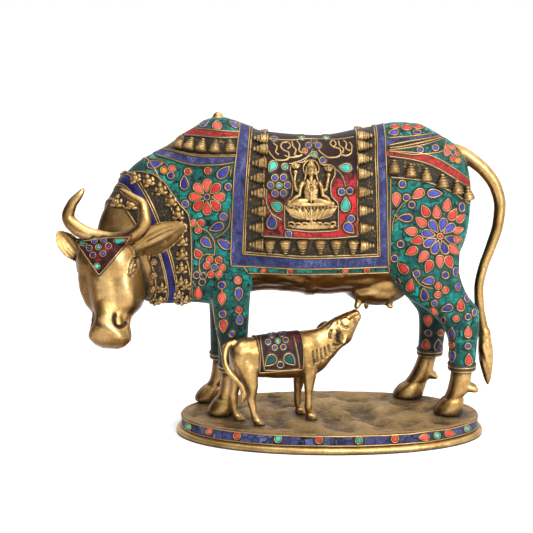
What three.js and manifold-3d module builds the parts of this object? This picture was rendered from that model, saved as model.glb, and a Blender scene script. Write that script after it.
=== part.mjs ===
// Kamdhenu: a standing cow in cast brass with stone inlay, her calf at the udder, on an oval plinth.
// Millimetres, +Z up. The origin is the centre of the underside of the plinth.
// The cow faces -X and turns her lowered head towards -Y, the near side.

import * as THREE from 'three';
import Module from 'manifold-3d';

const wasm = await Module();
wasm.setup();

// Driving sizes
const cowHeight = 331;
const plinthHeight = 22;
const plinthEndMargin = 15.6;
const plinthSideMargin = 7.5;
const footHeight = 7.5;
const footSpread = 5.5;
const bandThickness = 2;
const rimHeight = 1.6;
const groundRelief = 1.5;
const inlayThickness = 1.5;

// Clearances between pieces that touch
const hoofGap = 0.3;
const seatGap = 0.3;
const teatGap = 0.5;

// Pose and carving are shares of the cow's height, written for a cow 331 high
const figure = cowHeight / 331;

// Where the figures stand on the plinth
const standing = new THREE.Vector3(1.5 * figure, 0, plinthHeight + hoofGap);
const restingOnFloor = new THREE.Vector3();

// Stance of the hooves, which sets the oval of the plinth
const stanceFront = -154;
const stanceBack = 146;
const stanceNear = -77;
const stanceFar = 77;
const plinthHalfLength = (stanceBack - stanceFront) / 2 * figure + plinthEndMargin;
const plinthHalfDepth = (stanceFar - stanceNear) / 2 * figure + plinthSideMargin;
const ovalPower = 2.1;

// Trunk and neck sections from rump to poll:
// top x, top z, bottom x, bottom z, half width, middle y, turn towards the near side, fullness
const trunkSections = [
  [151.5, 258, 151.5, 222, 17, 24, 0, 2.1],
  [147, 275, 147, 192, 35, 24, 0, 2.1],
  [134, 295, 134, 166, 46, 24, 0, 2.15],
  [117, 306.5, 117, 148, 51, 24, 0, 2.2],
  [95, 317, 95, 138, 54, 24, 0, 2.2],
  [73, 319.5, 73, 134, 56, 24, 0, 2.2],
  [45, 315.5, 45, 133, 58, 23, 0, 2.25],
  [-15, 305, -15, 131, 60, 22, 0, 2.25],
  [-72, 309, -72, 135.5, 57, 22, 0, 2.2],
  [-98, 318, -98, 132, 55.5, 22, 0, 2.15],
  [-125, 326, -118, 122, 53, 21, 3, 2.05],
  [-155, 312, -130, 119, 50, 20, 9, 2.05],
  [-183, 293, -146, 122, 46, 16, 17, 2.1],
  [-208, 280, -163, 124, 41, 9, 26, 2.1],
  [-230, 256, -188, 125, 35, 0, 36, 2.1],
  [-240, 237, -205, 130, 30, -8, 44, 2.1],
  [-245, 218, -222, 156, 25, -15, 52, 2.1],
  [-246, 203, -234, 172, 17, -21, 58, 2.1],
];

// Leg sections from the body down to the sole: z, front x, back x, middle y, half width
const nearFrontLeg = [
  [172, -134, -88, 0, 22],
  [140, -133, -90, -5, 20],
  [118, -131, -91.5, -7, 18],
  [92, -125.5, -93, -8, 16],
  [54, -123.5, -97, -8.5, 13],
  [50, -122, -98.5, -8.5, 11.5],
  [27, -125, -102, -8.5, 12.5],
  [20, -127, -105, -8.5, 12],
  [17.5, -130, -104, -8.5, 13.5],
  [1.5, -138, -106.5, -8.5, 15.5],
  [0, -137, -107, -8.5, 15],
];
const farFrontLeg = [
  [172, -140, -96, 44, 22],
  [140, -139, -98, 47, 20],
  [118, -137, -101, 48, 18],
  [88, -135.7, -103.5, 47, 15.5],
  [54, -135.2, -107, 46.5, 13],
  [49, -133.8, -109, 46.5, 11.5],
  [25, -137, -113.5, 46.5, 12.5],
  [19, -141, -118, 46.5, 12],
  [17, -144, -119, 46.5, 13.5],
  [1.5, -155, -124.5, 46.5, 15.5],
  [0, -154, -125, 46.5, 15],
];
const nearHindLeg = [
  [230, 76, 140, 4, 22],
  [195, 64, 138.5, -5, 28],
  [165, 66, 137.5, -8, 28],
  [137, 78, 146, -8, 25.5],
  [115, 108, 161, -7, 19],
  [97, 124, 161.5, -6.5, 15.5],
  [80, 129.8, 160, -6, 14],
  [54, 131, 158, -6, 13.5],
  [49, 132.5, 156.5, -6, 12],
  [26, 129, 152.5, -6, 13],
  [19, 126, 147, -6, 12.5],
  [17, 123.5, 148, -6, 14],
  [1.5, 114, 145.5, -6, 16],
  [0, 115, 145, -6, 15.5],
];
const farHindLeg = [
  [230, 72, 138, 44, 22],
  [195, 62, 139, 53, 27],
  [165, 62, 137, 56, 27],
  [137, 72, 139, 58, 24],
  [115, 92, 143, 60, 19],
  [97, 103.5, 138, 61, 16],
  [80, 104.5, 133.5, 61, 14],
  [54, 103.5, 129.5, 61, 13],
  [49, 103, 125, 61, 11.5],
  [26, 94, 119.5, 61, 12.5],
  [16, 86, 113.5, 61, 12.5],
  [14, 82.5, 113, 61, 13.5],
  [1.5, 74.5, 109, 61, 15.5],
  [0, 75.5, 108.5, 61, 15],
];

// The head: its poll, and how it hangs in degrees
const poll = new THREE.Vector3(-250.5, -40, 204.5);
const headDroop = 74;
const headYaw = 20;
const headRoll = 2;
const hornShift = 14;
const hornLean = 0.2;

// Head sections from poll to muzzle: along the face, shift to her left, half width, brow side,
// jaw side, fullness
const headSections = [
  [-7, 0, 15, -12, -36, 2.1],
  [-1, 0, 26, -3, -50, 2.3],
  [11, 0, 33, 3, -62, 2.5],
  [26, 0.5, 35.5, 3.5, -70, 2.5],
  [42, 2, 35.5, 1.5, -75, 2.3],
  [57, 4, 34, -1.5, -75, 2.25],
  [70, 6, 30, -4, -67, 2.2],
  [82, 8, 22.5, -4.5, -50, 2.3],
  [94, 10, 21.5, -2, -42, 2.4],
  [105, 10.5, 21.5, -4.5, -42, 2.4],
  [113, 11, 17, -10, -37, 2.3],
  [116.5, 11, 9, -17, -31, 2.1],
];

// Horn stops from the middle of the poll ridge to the tip: to her left, to her right, along the
// face, out of the brow, radius
const hornStops = [
  [0, 0, 0, -5, 6],
  [17, 17, -1, -3, 7.2],
  [34, 34, -6, 2, 7.8],
  [45, 45, -19, 6, 7],
  [46, 38, -33, 8.5, 5.8],
  [34.5, 29, -42, 9, 4.4],
  [22.5, 23, -49.5, 8, 2.4],
  [20.5, 22, -51.5, 7.5, 1.2],
];

// Tail sections: x, z, y, radius
const tailSections = [
  [118, 292, 24, 9],
  [138, 288.5, 24, 8.2],
  [154, 279.5, 24, 7.6],
  [170, 265.5, 24, 7.3],
  [181, 249, 24, 7],
  [186, 229, 23, 6.7],
  [184, 209, 20, 6.3],
  [176, 183, 17, 5.9],
  [167.5, 160, 13, 5.5],
  [163.5, 138, 11, 5.4],
  [165, 115, 10, 5.5],
  [170, 92, 10, 5.4],
  [172.5, 73, 10, 8.6],
  [174, 56, 10, 8.2],
  [175.5, 40, 10, 5.4],
  [176.5, 27, 10, 1],
];

// Calf trunk, neck and head sections: top x, top z, bottom x, bottom z, half width, fullness
const calfSections = [
  [-53.5, 83, -53.5, 69, 6, 2],
  [-51, 89, -51, 60, 12, 2],
  [-44, 93, -44, 53, 15.5, 2.1],
  [-29, 94.5, -29, 51, 17.5, 2.2],
  [-8, 96, -8, 48, 18, 2.2],
  [14, 97, 14, 46, 18, 2.2],
  [33, 97.5, 36, 46, 16.5, 2.1],
  [44, 98.5, 50, 51, 13, 2.1],
  [53, 101, 62, 63, 11, 2.1],
  [60, 106, 74, 75, 10.5, 2.2],
  [69, 110.5, 84, 83, 12, 2.3],
  [78, 113.5, 89.5, 94, 10, 2.2],
  [85.5, 116, 93.5, 102, 7.6, 2.2],
  [90, 117, 96, 106, 7.4, 2.2],
  [93.5, 116, 97, 109.5, 4.5, 2],
];
const calfNearFrontLeg = [
  [62, 22, 43, -8.5, 9],
  [48, 26, 41, -9, 7.5],
  [36, 28, 38, -9.5, 5.6],
  [26, 28.5, 36, -10, 4.6],
  [12, 28.5, 36, -10.5, 4.6],
  [8, 29.5, 38.5, -10.5, 4.8],
  [6.5, 29, 40, -10.5, 5.6],
  [0, 29, 44.5, -10.5, 6.2],
];
const calfFarFrontLeg = [
  [62, 20, 40, 8.5, 9],
  [48, 22, 36, 9.5, 7.5],
  [36, 23, 34, 11, 5.6],
  [26, 23.5, 32, 12, 4.6],
  [12, 24, 32, 12.5, 4.6],
  [8, 25, 34.5, 12.5, 4.8],
  [6.5, 25, 36, 12.5, 5.6],
  [0, 25, 40.5, 12.5, 6.2],
];
const calfNearHindLeg = [
  [72, -50, -26, -6, 11],
  [58, -48, -26, -8.5, 9.8],
  [46, -42.5, -26, -11, 8],
  [36, -39, -28, -12, 6],
  [29, -38.5, -29, -12, 5],
  [20, -36, -28.5, -12, 4.4],
  [9, -33.5, -25.5, -12, 4.6],
  [6.5, -33, -23.5, -12, 5.6],
  [0, -31, -18, -12, 6.2],
];
const calfFarHindLeg = [
  [72, -52, -26, 6, 11],
  [58, -52, -29, 8.5, 9.8],
  [46, -51, -34, 11, 8],
  [36, -50.5, -39, 12, 6],
  [29, -51, -41, 12, 5],
  [20, -50, -42, 12, 4.4],
  [9, -48.5, -40.5, 12, 4.6],
  [6.5, -48, -38.5, 12, 5.6],
  [0, -46.5, -33, 12, 6.2],
];
const calfTailSections = [
  [-47, 90, 1, 4],
  [-54, 89, 0, 3.6],
  [-60.5, 82, -4, 3.3],
  [-62.5, 72, -9, 3.2],
  [-59, 62, -13.5, 3.1],
  [-52, 53, -17.5, 3],
  [-46.5, 45, -19.5, 3],
  [-45, 36, -20, 3.8],
  [-46, 27, -19.5, 0.8],
];

// Where the calf stands and the way it faces
const calfPlace = new THREE.Vector2(-60, -30.5);
const calfTurn = 18;
const calfMuzzleTop = 117;

// Teat that the calf reaches for, as x, y and the height of the tip
const nearTeatTip = [27, 0, 117.6];
const calfScale = (nearTeatTip[2] * figure - teatGap) / calfMuzzleTop;

// Saddle cloth: x of its ends at the ridge and at the hem, and heights above the plinth
const clothFrontTop = -98;
const clothFrontHem = -110;
const clothBackTop = 56;
const clothBackHem = 60;
const clothHemHeight = 165;
const clothRidge = 310;
const clothHemWidth = 7;
const clothFrameWidth = 9;
const clothReliefWidth = 19;

// Niche on each flank, which fills its share of the cloth from hem to ridge
const nicheScale = (clothRidge - clothHemHeight) / 145;
const nicheMiddle = [(clothFrontHem + clothBackHem) / 2 + 1, clothHemHeight + 81 * nicheScale];

// Lowest edge of the inlay on the legs
const legInlayEnd = 54;

// Facets round the trunk and the legs, shared by the casting and the inlay laid on it
const trunkSides = 16;
const legSides = 8;

const worldAxes = [
  new THREE.Vector3(1, 0, 0),
  new THREE.Vector3(0, 1, 0),
  new THREE.Vector3(0, 0, 1),
];

// Materials
function stoneMaterial(colour) {
  return new THREE.MeshStandardMaterial({ color: colour, roughness: 0.5, metalness: 0 });
}
function brassMaterial(colour, roughness) {
  return new THREE.MeshStandardMaterial({ color: colour, roughness, metalness: 1 });
}

// Turns vertices and faces into a solid that faces out
function makeSolid(vertices, faces) {
  let volume = 0;
  for (const [a, b, c] of faces) {
    volume += vertices[a].dot(new THREE.Vector3().crossVectors(vertices[b], vertices[c]));
  }
  const triVerts = new Uint32Array(faces.length * 3);
  faces.forEach(([a, b, c], i) => {
    triVerts.set(volume > 0 ? [a, b, c] : [a, c, b], i * 3);
  });
  const vertProperties = new Float32Array(vertices.length * 3);
  vertices.forEach((v, i) => vertProperties.set([v.x, v.y, v.z], i * 3));
  const mesh = new wasm.Mesh({ numProp: 3, vertProperties, triVerts });
  return new wasm.Manifold(mesh);
}

// Closed skin over rings that all have the same number of points
function skinRings(rings) {
  const sides = rings[0].length;
  const vertices = rings.flat();
  const faces = [];
  for (let i = 0; i + 1 < rings.length; i += 1) {
    for (let j = 0; j < sides; j += 1) {
      const a = i * sides + j;
      const b = i * sides + (j + 1) % sides;
      faces.push([a, b, b + sides], [a, b + sides, a + sides]);
    }
  }
  const last = (rings.length - 1) * sides;
  for (let j = 1; j + 1 < sides; j += 1) {
    faces.push([0, j + 1, j], [last, last + j, last + j + 1]);
  }
  return makeSolid(vertices, faces);
}

// Closed band whose last ring joins its first
function skinLoop(rings) {
  const sides = rings[0].length;
  const faces = [];
  rings.forEach((ring, i) => {
    const next = (i + 1) % rings.length * sides;
    for (let j = 0; j < sides; j += 1) {
      const k = (j + 1) % sides;
      faces.push([i * sides + j, i * sides + k, next + k], [i * sides + j, next + k, next + j]);
    }
  });
  return makeSolid(rings.flat(), faces);
}

// Point of a rounded outline at an angle from its top
function roundedPoint(angle, power) {
  const c = Math.cos(angle);
  const s = Math.sin(angle);
  const up = Math.sign(c) * Math.abs(c) ** (2 / power);
  const out = Math.sign(s) * Math.abs(s) ** (2 / power);
  return [out, up];
}

// Point of one trunk section at an angle from the ridge, lifted off the skin
function sectionPoint(row, angle, lift) {
  const [tx, tz, bx, bz, half, my, turn, power] = row;
  const rise = new THREE.Vector3((tx - bx) / 2, 0, (tz - bz) / 2).multiplyScalar(figure);
  const yaw = THREE.MathUtils.degToRad(turn);
  const side = new THREE.Vector3(Math.sin(yaw), -Math.cos(yaw), 0);
  const height = rise.length();
  const [out, up] = roundedPoint(angle, power);
  return new THREE.Vector3((tx + bx) / 2, my, (tz + bz) / 2).multiplyScalar(figure)
    .addScaledVector(rise, up * (height + lift) / height)
    .addScaledVector(side, out * (half * figure + lift));
}

// Corner of the facets where a section meets one of the lines along the trunk
function trunkCorner(section, line, lift) {
  const p = sectionPoint(trunkSections[section], 2 * Math.PI * line / trunkSides, lift);
  if (section === 0) {
    p.x += lift;
  }
  return p;
}

// Point on the facets of the trunk: place along the sections, angle from the ridge
function trunkPoint(at, angle, lift) {
  const i = Math.min(Math.floor(at), trunkSections.length - 2);
  const line = angle / (2 * Math.PI) * trunkSides;
  const j = Math.floor(line);
  const before = trunkCorner(i, j, lift).lerp(trunkCorner(i, j + 1, lift), line - j);
  const after = trunkCorner(i + 1, j, lift).lerp(trunkCorner(i + 1, j + 1, lift), line - j);
  return before.lerp(after, at - i);
}

// Ring of points round the trunk at a place along the sections
function trunkRing(at, lift) {
  const ring = [];
  for (let j = 0; j < trunkSides; j += 1) {
    ring.push(trunkPoint(at, 2 * Math.PI * j / trunkSides, lift));
  }
  return ring;
}

// Length of trunk between two places along the sections, thickened by lift, with a ring at
// each section between them
function trunkPiece(from, to, lift) {
  const stops = [from];
  for (let i = Math.floor(from) + 1; i < to; i += 1) {
    stops.push(i);
  }
  stops.push(to);
  return skinRings(stops.map((at) => trunkRing(at, lift)));
}

// Leg through its sections, thickened by lift
function legPiece(rows, lift, scale) {
  const rings = rows.map(([z, front, back, my, half]) => {
    const ring = [];
    for (let j = 0; j < legSides; j += 1) {
      const [out, up] = roundedPoint(2 * Math.PI * (j + 0.5) / legSides, 2.2);
      const x = (front + back) / 2 * scale + up * ((back - front) / 2 * scale + lift);
      ring.push(new THREE.Vector3(x, my * scale + out * (half * scale + lift), z * scale));
    }
    return ring;
  });
  return skinRings(rings);
}

// Rounded bar that follows points, with a radius at each
function sweep(points, radii, sides) {
  const tangents = points.map((p, i) => {
    const next = points[Math.min(i + 1, points.length - 1)];
    const previous = points[Math.max(i - 1, 0)];
    return new THREE.Vector3().subVectors(next, previous).normalize();
  });
  let across = new THREE.Vector3(0.31, 0.87, 0.38).cross(tangents[0]).normalize();
  const rings = points.map((p, i) => {
    across = across.clone().addScaledVector(tangents[i], -across.dot(tangents[i])).normalize();
    const other = new THREE.Vector3().crossVectors(tangents[i], across);
    const ring = [];
    for (let j = 0; j < sides; j += 1) {
      const angle = 2 * Math.PI * j / sides;
      ring.push(p.clone()
        .addScaledVector(across, radii[i] * Math.cos(angle))
        .addScaledVector(other, radii[i] * Math.sin(angle)));
    }
    return ring;
  });
  return skinRings(rings);
}

// Rounded lump with its own axes and radii
function lump(centre, axes, radii, around, levels) {
  const rings = [];
  for (let i = 1; i < levels; i += 1) {
    const rise = Math.PI * i / levels;
    const ring = [];
    for (let j = 0; j < around; j += 1) {
      const angle = 2 * Math.PI * j / around;
      ring.push(centre.clone()
        .addScaledVector(axes[0], radii[0] * Math.sin(rise) * Math.cos(angle))
        .addScaledVector(axes[1], radii[1] * Math.sin(rise) * Math.sin(angle))
        .addScaledVector(axes[2], radii[2] * Math.cos(rise)));
    }
    rings.push(ring);
  }
  const vertices = rings.flat();
  const top = vertices.push(centre.clone().addScaledVector(axes[2], radii[2])) - 1;
  const bottom = vertices.push(centre.clone().addScaledVector(axes[2], -radii[2])) - 1;
  const faces = [];
  for (let j = 0; j < around; j += 1) {
    const k = (j + 1) % around;
    faces.push([top, j, k]);
    for (let i = 0; i + 1 < rings.length; i += 1) {
      const a = i * around;
      const b = a + around;
      faces.push([a + j, b + j, b + k], [a + j, b + k, a + k]);
    }
    const last = (rings.length - 1) * around;
    faces.push([bottom, last + k, last + j]);
  }
  return makeSolid(vertices, faces);
}

// Block cut from a flat outline in x and z, running through y
function prism(outline, nearY, farY) {
  const flat = outline.map(([x, z]) => new THREE.Vector2(x, z));
  if (THREE.ShapeUtils.isClockWise(flat)) {
    flat.reverse();
  }
  const count = flat.length;
  const vertices = [nearY, farY].flatMap((y) => flat.map((p) => new THREE.Vector3(p.x, y, p.y)));
  const faces = [];
  for (const [a, b, c] of THREE.ShapeUtils.triangulateShape(flat, [])) {
    faces.push([a, b, c], [c + count, b + count, a + count]);
  }
  for (let i = 0; i < count; i += 1) {
    const j = (i + 1) % count;
    faces.push([i, i + count, j + count], [i, j + count, j]);
  }
  return makeSolid(vertices, faces);
}

function joinAll(solids) {
  return wasm.Manifold.union(solids);
}

// Point and outward direction on the trunk
function trunkFrame(at, angle, lift) {
  const step = 0.03;
  const origin = trunkPoint(at, angle, lift);
  const along = trunkPoint(at + step, angle, lift).sub(trunkPoint(at - step, angle, lift)).normalize();
  const around = trunkPoint(at, angle + step, lift).sub(trunkPoint(at, angle - step, lift)).normalize();
  const outward = new THREE.Vector3().crossVectors(along, around).normalize();
  const down = around.clone().multiplyScalar(Math.sin(angle) < 0 ? -1 : 1);
  return { origin, along, down, outward };
}

// Frame on one flank at a place along the sections and a height
function heightFrame(at, z, far, lift) {
  let high = 0;
  let low = Math.PI;
  for (let step = 0; step < 30; step += 1) {
    const middle = (high + low) / 2;
    if (trunkPoint(at, middle, lift).z > z * figure) {
      high = middle;
    } else {
      low = middle;
    }
  }
  return trunkFrame(at, far ? -high : high, lift);
}

// Frame on one flank of the barrel at an x and a height
function flankFrame(x, z, far, lift) {
  let i = 0;
  while (i < trunkSections.length - 2 && trunkSections[i + 1][0] > x) {
    i += 1;
  }
  const at = i + (trunkSections[i][0] - x) / (trunkSections[i][0] - trunkSections[i + 1][0]);
  return heightFrame(at, z, far, lift);
}

// Solid from corners laid on the skin and standing off it: across, down, outward
function reliefSolid(frame, corners, faces) {
  const { origin, down, outward } = frame;
  const across = new THREE.Vector3().crossVectors(outward, down).normalize();
  return makeSolid(corners.map(([a, b, c]) => origin.clone()
    .addScaledVector(across, a)
    .addScaledVector(down, b)
    .addScaledVector(outward, c)), faces);
}

// Hanging bell that flares from its crown to its mouth, half sunk in the skin
function bell(frame, size) {
  const w = 0.75 * size;
  const sunk = -1.5 * figure;
  const corners = [
    [0, -0.95 * size, sunk],
    [w, 0.45 * size, sunk],
    [0, 0.85 * size, sunk],
    [-w, 0.45 * size, sunk],
    [0, -0.5 * size, 0.35 * size],
    [0, 0.5 * size, 0.62 * size],
  ];
  const faces = [[0, 4, 1], [4, 5, 1], [5, 2, 1], [0, 3, 4], [4, 3, 5], [5, 3, 2], [0, 1, 2], [0, 2, 3]];
  return reliefSolid(frame, corners, faces);
}

// Raised boss with a flat crown: half width, half length, height and number of sides
function boss(frame, wide, tall, high, sides) {
  const corners = [];
  const faces = [];
  for (const [share, level] of [[1, -1.2 * figure], [0.62, high]]) {
    for (let j = 0; j < sides; j += 1) {
      const angle = 2 * Math.PI * j / sides;
      corners.push([wide * share * Math.sin(angle), -tall * share * Math.cos(angle), level]);
    }
  }
  for (let j = 0; j < sides; j += 1) {
    const k = (j + 1) % sides;
    faces.push([j, k, k + sides], [j, k + sides, j + sides]);
  }
  for (let j = 1; j + 1 < sides; j += 1) {
    faces.push([0, j + 1, j], [sides, sides + j, sides + j + 1]);
  }
  return reliefSolid(frame, corners, faces);
}

// Four-sided stud that rises to a point
function stud(frame, wide, tall, high) {
  const sunk = -1.2 * figure;
  const corners = [[0, -tall, sunk], [wide, 0, sunk], [0, tall, sunk], [-wide, 0, sunk], [0, 0, high]];
  const faces = [[0, 4, 1], [1, 4, 2], [2, 4, 3], [3, 4, 0], [0, 1, 2], [0, 2, 3]];
  return reliefSolid(frame, corners, faces);
}

// Straight ridge between two spots of a frame, for arms
function limb(frame, from, to, half, high) {
  const [ax, ay] = from;
  const [bx, by] = to;
  const long = Math.hypot(bx - ax, by - ay);
  const nx = (by - ay) / long * half;
  const ny = -(bx - ax) / long * half;
  const sunk = -1.2 * figure;
  const corners = [
    [ax + nx, ay + ny, sunk], [ax - nx, ay - ny, sunk], [ax, ay, high],
    [bx + nx, by + ny, sunk], [bx - nx, by - ny, sunk], [bx, by, high],
  ];
  const faces = [[0, 2, 1], [3, 4, 5], [0, 1, 4], [0, 4, 3], [0, 3, 5], [0, 5, 2], [1, 2, 5], [1, 5, 4]];
  return reliefSolid(frame, corners, faces);
}

// Bells hang in rows on the saddle cloth, below the hump and below the rump
function clothBells() {
  const bells = [];
  const size = 6.3 * figure;
  const inset = clothFrameWidth + clothReliefWidth / 2;
  const low = clothHemHeight + clothHemWidth + inset;
  const high = clothRidge - 18;
  for (const far of [false, true]) {
    for (let i = 0; i < 8; i += 1) {
      const z = high + (low - high) * i / 7;
      bells.push(bell(flankFrame(clothFrontAt(z) + inset, z, far, 0), size));
      bells.push(bell(flankFrame(clothBackAt(z) - inset, z, far, 0), size));
    }
    for (let i = 1; i < 6; i += 1) {
      const front = clothFrontAt(low) + inset;
      const back = clothBackAt(low) - inset;
      bells.push(bell(flankFrame(front + (back - front) * i / 6, low, far, 0), size));
    }
  }
  return bells;
}

function quarterBells() {
  const bells = [];
  const size = 6.8 * figure;
  for (const far of [false, true]) {
    for (let i = 0; i < 5; i += 1) {
      bells.push(bell(heightFrame(11.6 - 0.46 * i, 290 + 1.2 * i, far, 0), size));
    }
    for (let i = 0; i < 6; i += 1) {
      bells.push(bell(flankFrame(66 + 15.6 * i, 273 - 2.2 * i - 0.6 * i * i, far, 0), size));
    }
  }
  return bells;
}

// Two garlands of knobs round the neck
function garlandKnobs() {
  const knobs = [];
  for (const [at, share, count] of [[13.05, 7.4, 12], [14.75, 6.2, 11]]) {
    const size = share * figure;
    for (let i = 0; i < count; i += 1) {
      knobs.push(stud(trunkFrame(at, 2 * Math.PI * (i + 0.5) / count, 0), size, size, 0.6 * size));
    }
  }
  return knobs;
}

// The seated goddess in her niche, laid on the flank round a middle point
function goddessRelief(far) {
  const [x, z] = nicheMiddle;
  const spot = (a, b, lift) => flankFrame(x + a * nicheScale, z + b * nicheScale, far, lift * figure);
  const scaled = (sizes) => sizes.map((size) => size * figure * nicheScale);
  const arch = [[-24, -27], [-26, 2], [-22, 30], [0, 45], [22, 30], [26, 2], [24, -27]];
  const solids = [
    boss(spot(0, 28, 0), ...scaled([5, 5.6, 6]), 5),
    stud(spot(0, 37, 0), ...scaled([4.5, 8, 5])),
    boss(spot(0, 13, 0), ...scaled([9, 11, 5]), 5),
    boss(spot(0, -2, 0), ...scaled([20, 6.5, 6]), 6),
    sweep(arch.map(([a, b]) => spot(a, b, 0.3).origin), arch.map(() => 2 * figure), 4),
  ];
  for (const hand of [-1, 1]) {
    const shoulder = scaled([6 * hand, 0]);
    solids.push(limb(spot(0, 18, 0), shoulder, scaled([16 * hand, 15]), ...scaled([3.2, 5])));
    solids.push(limb(spot(0, 18, 0), shoulder, scaled([17 * hand, -10]), ...scaled([3, 4])));
    solids.push(stud(spot(hand * 18, 32, 0), ...scaled([5, 6, 4])));
  }
  for (let i = -2; i <= 2; i += 1) {
    solids.push(stud(spot(i * 9, -13, 0), ...scaled([5.6, 7.5, 4.5])));
  }
  for (let i = -1; i <= 1; i += 1) {
    solids.push(stud(spot(i * 12, -22, 0), ...scaled([7.5, 5.6, 3.6])));
  }
  return solids;
}

// Cord tied under the belly, hidden by the cloth above
function girthCord() {
  const high = clothHemHeight - 1;
  const belly = slab([[-60, 100], [10, 100], [10, high], [-60, high]]);
  return trunkPiece(7.12, 7.27, 1.6 * figure).intersect(belly);
}

// Point of the hanging head: along the face, to her left, and out of the brow
function headPoint(t, s, n) {
  const droop = THREE.MathUtils.degToRad(headDroop);
  const depth = -t * Math.cos(droop) - n * Math.sin(droop);
  const rise = n * Math.cos(droop) - t * Math.sin(droop);
  return new THREE.Vector3(s, depth, rise)
    .applyAxisAngle(worldAxes[1], -THREE.MathUtils.degToRad(headRoll))
    .applyAxisAngle(worldAxes[2], -THREE.MathUtils.degToRad(headYaw))
    .add(poll)
    .multiplyScalar(figure);
}

// Head that narrows towards the jaw, thickened by lift
function headShape(lift) {
  const sides = 12;
  const rings = headSections.map(([t, shift, half, top, bottom, power]) => {
    const ring = [];
    for (let j = 0; j < sides; j += 1) {
      const [out, up] = roundedPoint(2 * Math.PI * j / sides, power);
      const taper = up < 0 ? 1 + 0.12 * up : 1;
      const grow = lift / figure;
      const level = (top + bottom) / 2 + up * ((top - bottom) / 2 + grow);
      ring.push(headPoint(t, shift + out * (half * taper + grow), level));
    }
    return ring;
  });
  return skinRings(rings);
}

// Both horns and the ridge of the poll between them, as one curved bar
function horns(lift) {
  const left = hornStops.map(([s, , t, n, r]) => [s, t, n, r]);
  const right = hornStops.slice(1).reverse().map(([, s, t, n, r]) => [-s, t, n, r]);
  const stops = [...right, ...left];
  const points = stops.map(([s, t, n]) => headPoint(t, s + hornShift + hornLean * t, n));
  return sweep(points, stops.map(([, , , r]) => r * figure + lift), 6);
}

// Leaf-shaped ear hollowed on the side that faces forward
function ear(root, tip, hollow, width) {
  const long = new THREE.Vector3().subVectors(tip, root);
  const wide = new THREE.Vector3().crossVectors(hollow, long).normalize();
  const face = new THREE.Vector3().crossVectors(long, wide).normalize();
  if (face.dot(hollow) < 0) {
    face.negate();
  }
  const spans = [[-0.1, 0.45], [0.08, 0.55], [0.32, 0.96], [0.62, 0.92], [0.86, 0.5], [1, 0.08]];
  const rings = spans.map(([share, breadth]) => {
    const middle = root.clone().addScaledVector(long, share);
    const half = width * breadth / 2;
    const profile = [[-1, 0.34], [0, -0.12], [1, 0.34], [0.6, -0.3], [0, -0.48], [-0.6, -0.3]];
    return profile.map(([a, b]) => middle.clone()
      .addScaledVector(wide, a * half)
      .addScaledVector(face, b * half));
  });
  return skinRings(rings);
}

function headSolids() {
  const forward = headPoint(0, 4, 10).sub(headPoint(0, 0, 0)).normalize();
  return [
    headShape(0),
    horns(0),
    ear(headPoint(13, 33, -18), headPoint(-11, 88, -23), forward, 30 * figure),
    ear(headPoint(20, -30, -18), headPoint(-9, -62, -27), forward, 30 * figure),
  ];
}

function dewclaws(x, y, z) {
  return [-6, 6].map((offset) => {
    const root = new THREE.Vector3(x - 13, y + offset, z + 4).multiplyScalar(figure);
    const tip = new THREE.Vector3(x, y + offset, z).multiplyScalar(figure);
    return sweep([root, tip], [5 * figure, 2 * figure], 5);
  });
}

function udderBag(lift) {
  const centre = new THREE.Vector3(50, 22, 139).multiplyScalar(figure);
  return lump(centre, worldAxes, [37, 33, 21].map((r) => r * figure + lift), 10, 6);
}

function teats() {
  const pairs = [[[31, 6, 127], nearTeatTip], [[40, 36, 126], [41, 38, 109]],
    [[60, 8, 126], [67, 5, 117]], [[64, 36, 126], [70, 39, 114]]];
  return pairs.map((ends) => sweep(
    ends.map((end) => new THREE.Vector3(...end).multiplyScalar(figure)),
    [4.4 * figure, 1.5 * figure],
    5,
  ));
}

function tail(lift) {
  const points = tailSections.map(([x, z, y]) => new THREE.Vector3(x, y, z).multiplyScalar(figure));
  return sweep(points, tailSections.map(([, , , r]) => r * figure + lift), 6);
}

function humpFinial() {
  const frame = trunkFrame(10, 0, 1.5 * figure);
  return lump(frame.origin, worldAxes, [5 * figure, 5 * figure, 4.2 * figure], 6, 4);
}

function reliefSolids() {
  return [...clothBells(), ...quarterBells(), ...garlandKnobs(), ...goddessRelief(false), ...goddessRelief(true)];
}

function legs(names, lift) {
  return names.map((rows) => legPiece(rows, lift, figure));
}

function cowSolid() {
  return joinAll([
    trunkPiece(0, trunkSections.length - 1, 0),
    ...legs([nearFrontLeg, farFrontLeg, nearHindLeg, farHindLeg], 0),
    ...headSolids(),
    ...dewclaws(163, -6, 27),
    ...dewclaws(126, 61, 24),
    udderBag(0),
    ...teats(),
    tail(0),
    girthCord(),
    humpFinial(),
    ...reliefSolids(),
  ]);
}

// Block that spans the cow from side to side, cut to an outline in x and z
function slab(outline) {
  return prism(outline.map(([x, z]) => [x * figure, z * figure]), -150 * figure, 150 * figure);
}

// Front and back edge of the cloth at a height
function clothFrontAt(z) {
  return clothFrontHem + (clothFrontTop - clothFrontHem) * (z - clothHemHeight) / (clothRidge - clothHemHeight);
}

function clothBackAt(z) {
  return clothBackHem + (clothBackTop - clothBackHem) * (z - clothHemHeight) / (clothRidge - clothHemHeight);
}

// Outline of the saddle cloth, drawn in from its ends, between two heights
function clothOutline(inset, bottom, top) {
  return slab([
    [clothFrontAt(top) + inset, top],
    [clothFrontAt(bottom) + inset, bottom],
    [clothBackAt(bottom) - inset, bottom],
    [clothBackAt(top) - inset, top],
  ]);
}

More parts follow.
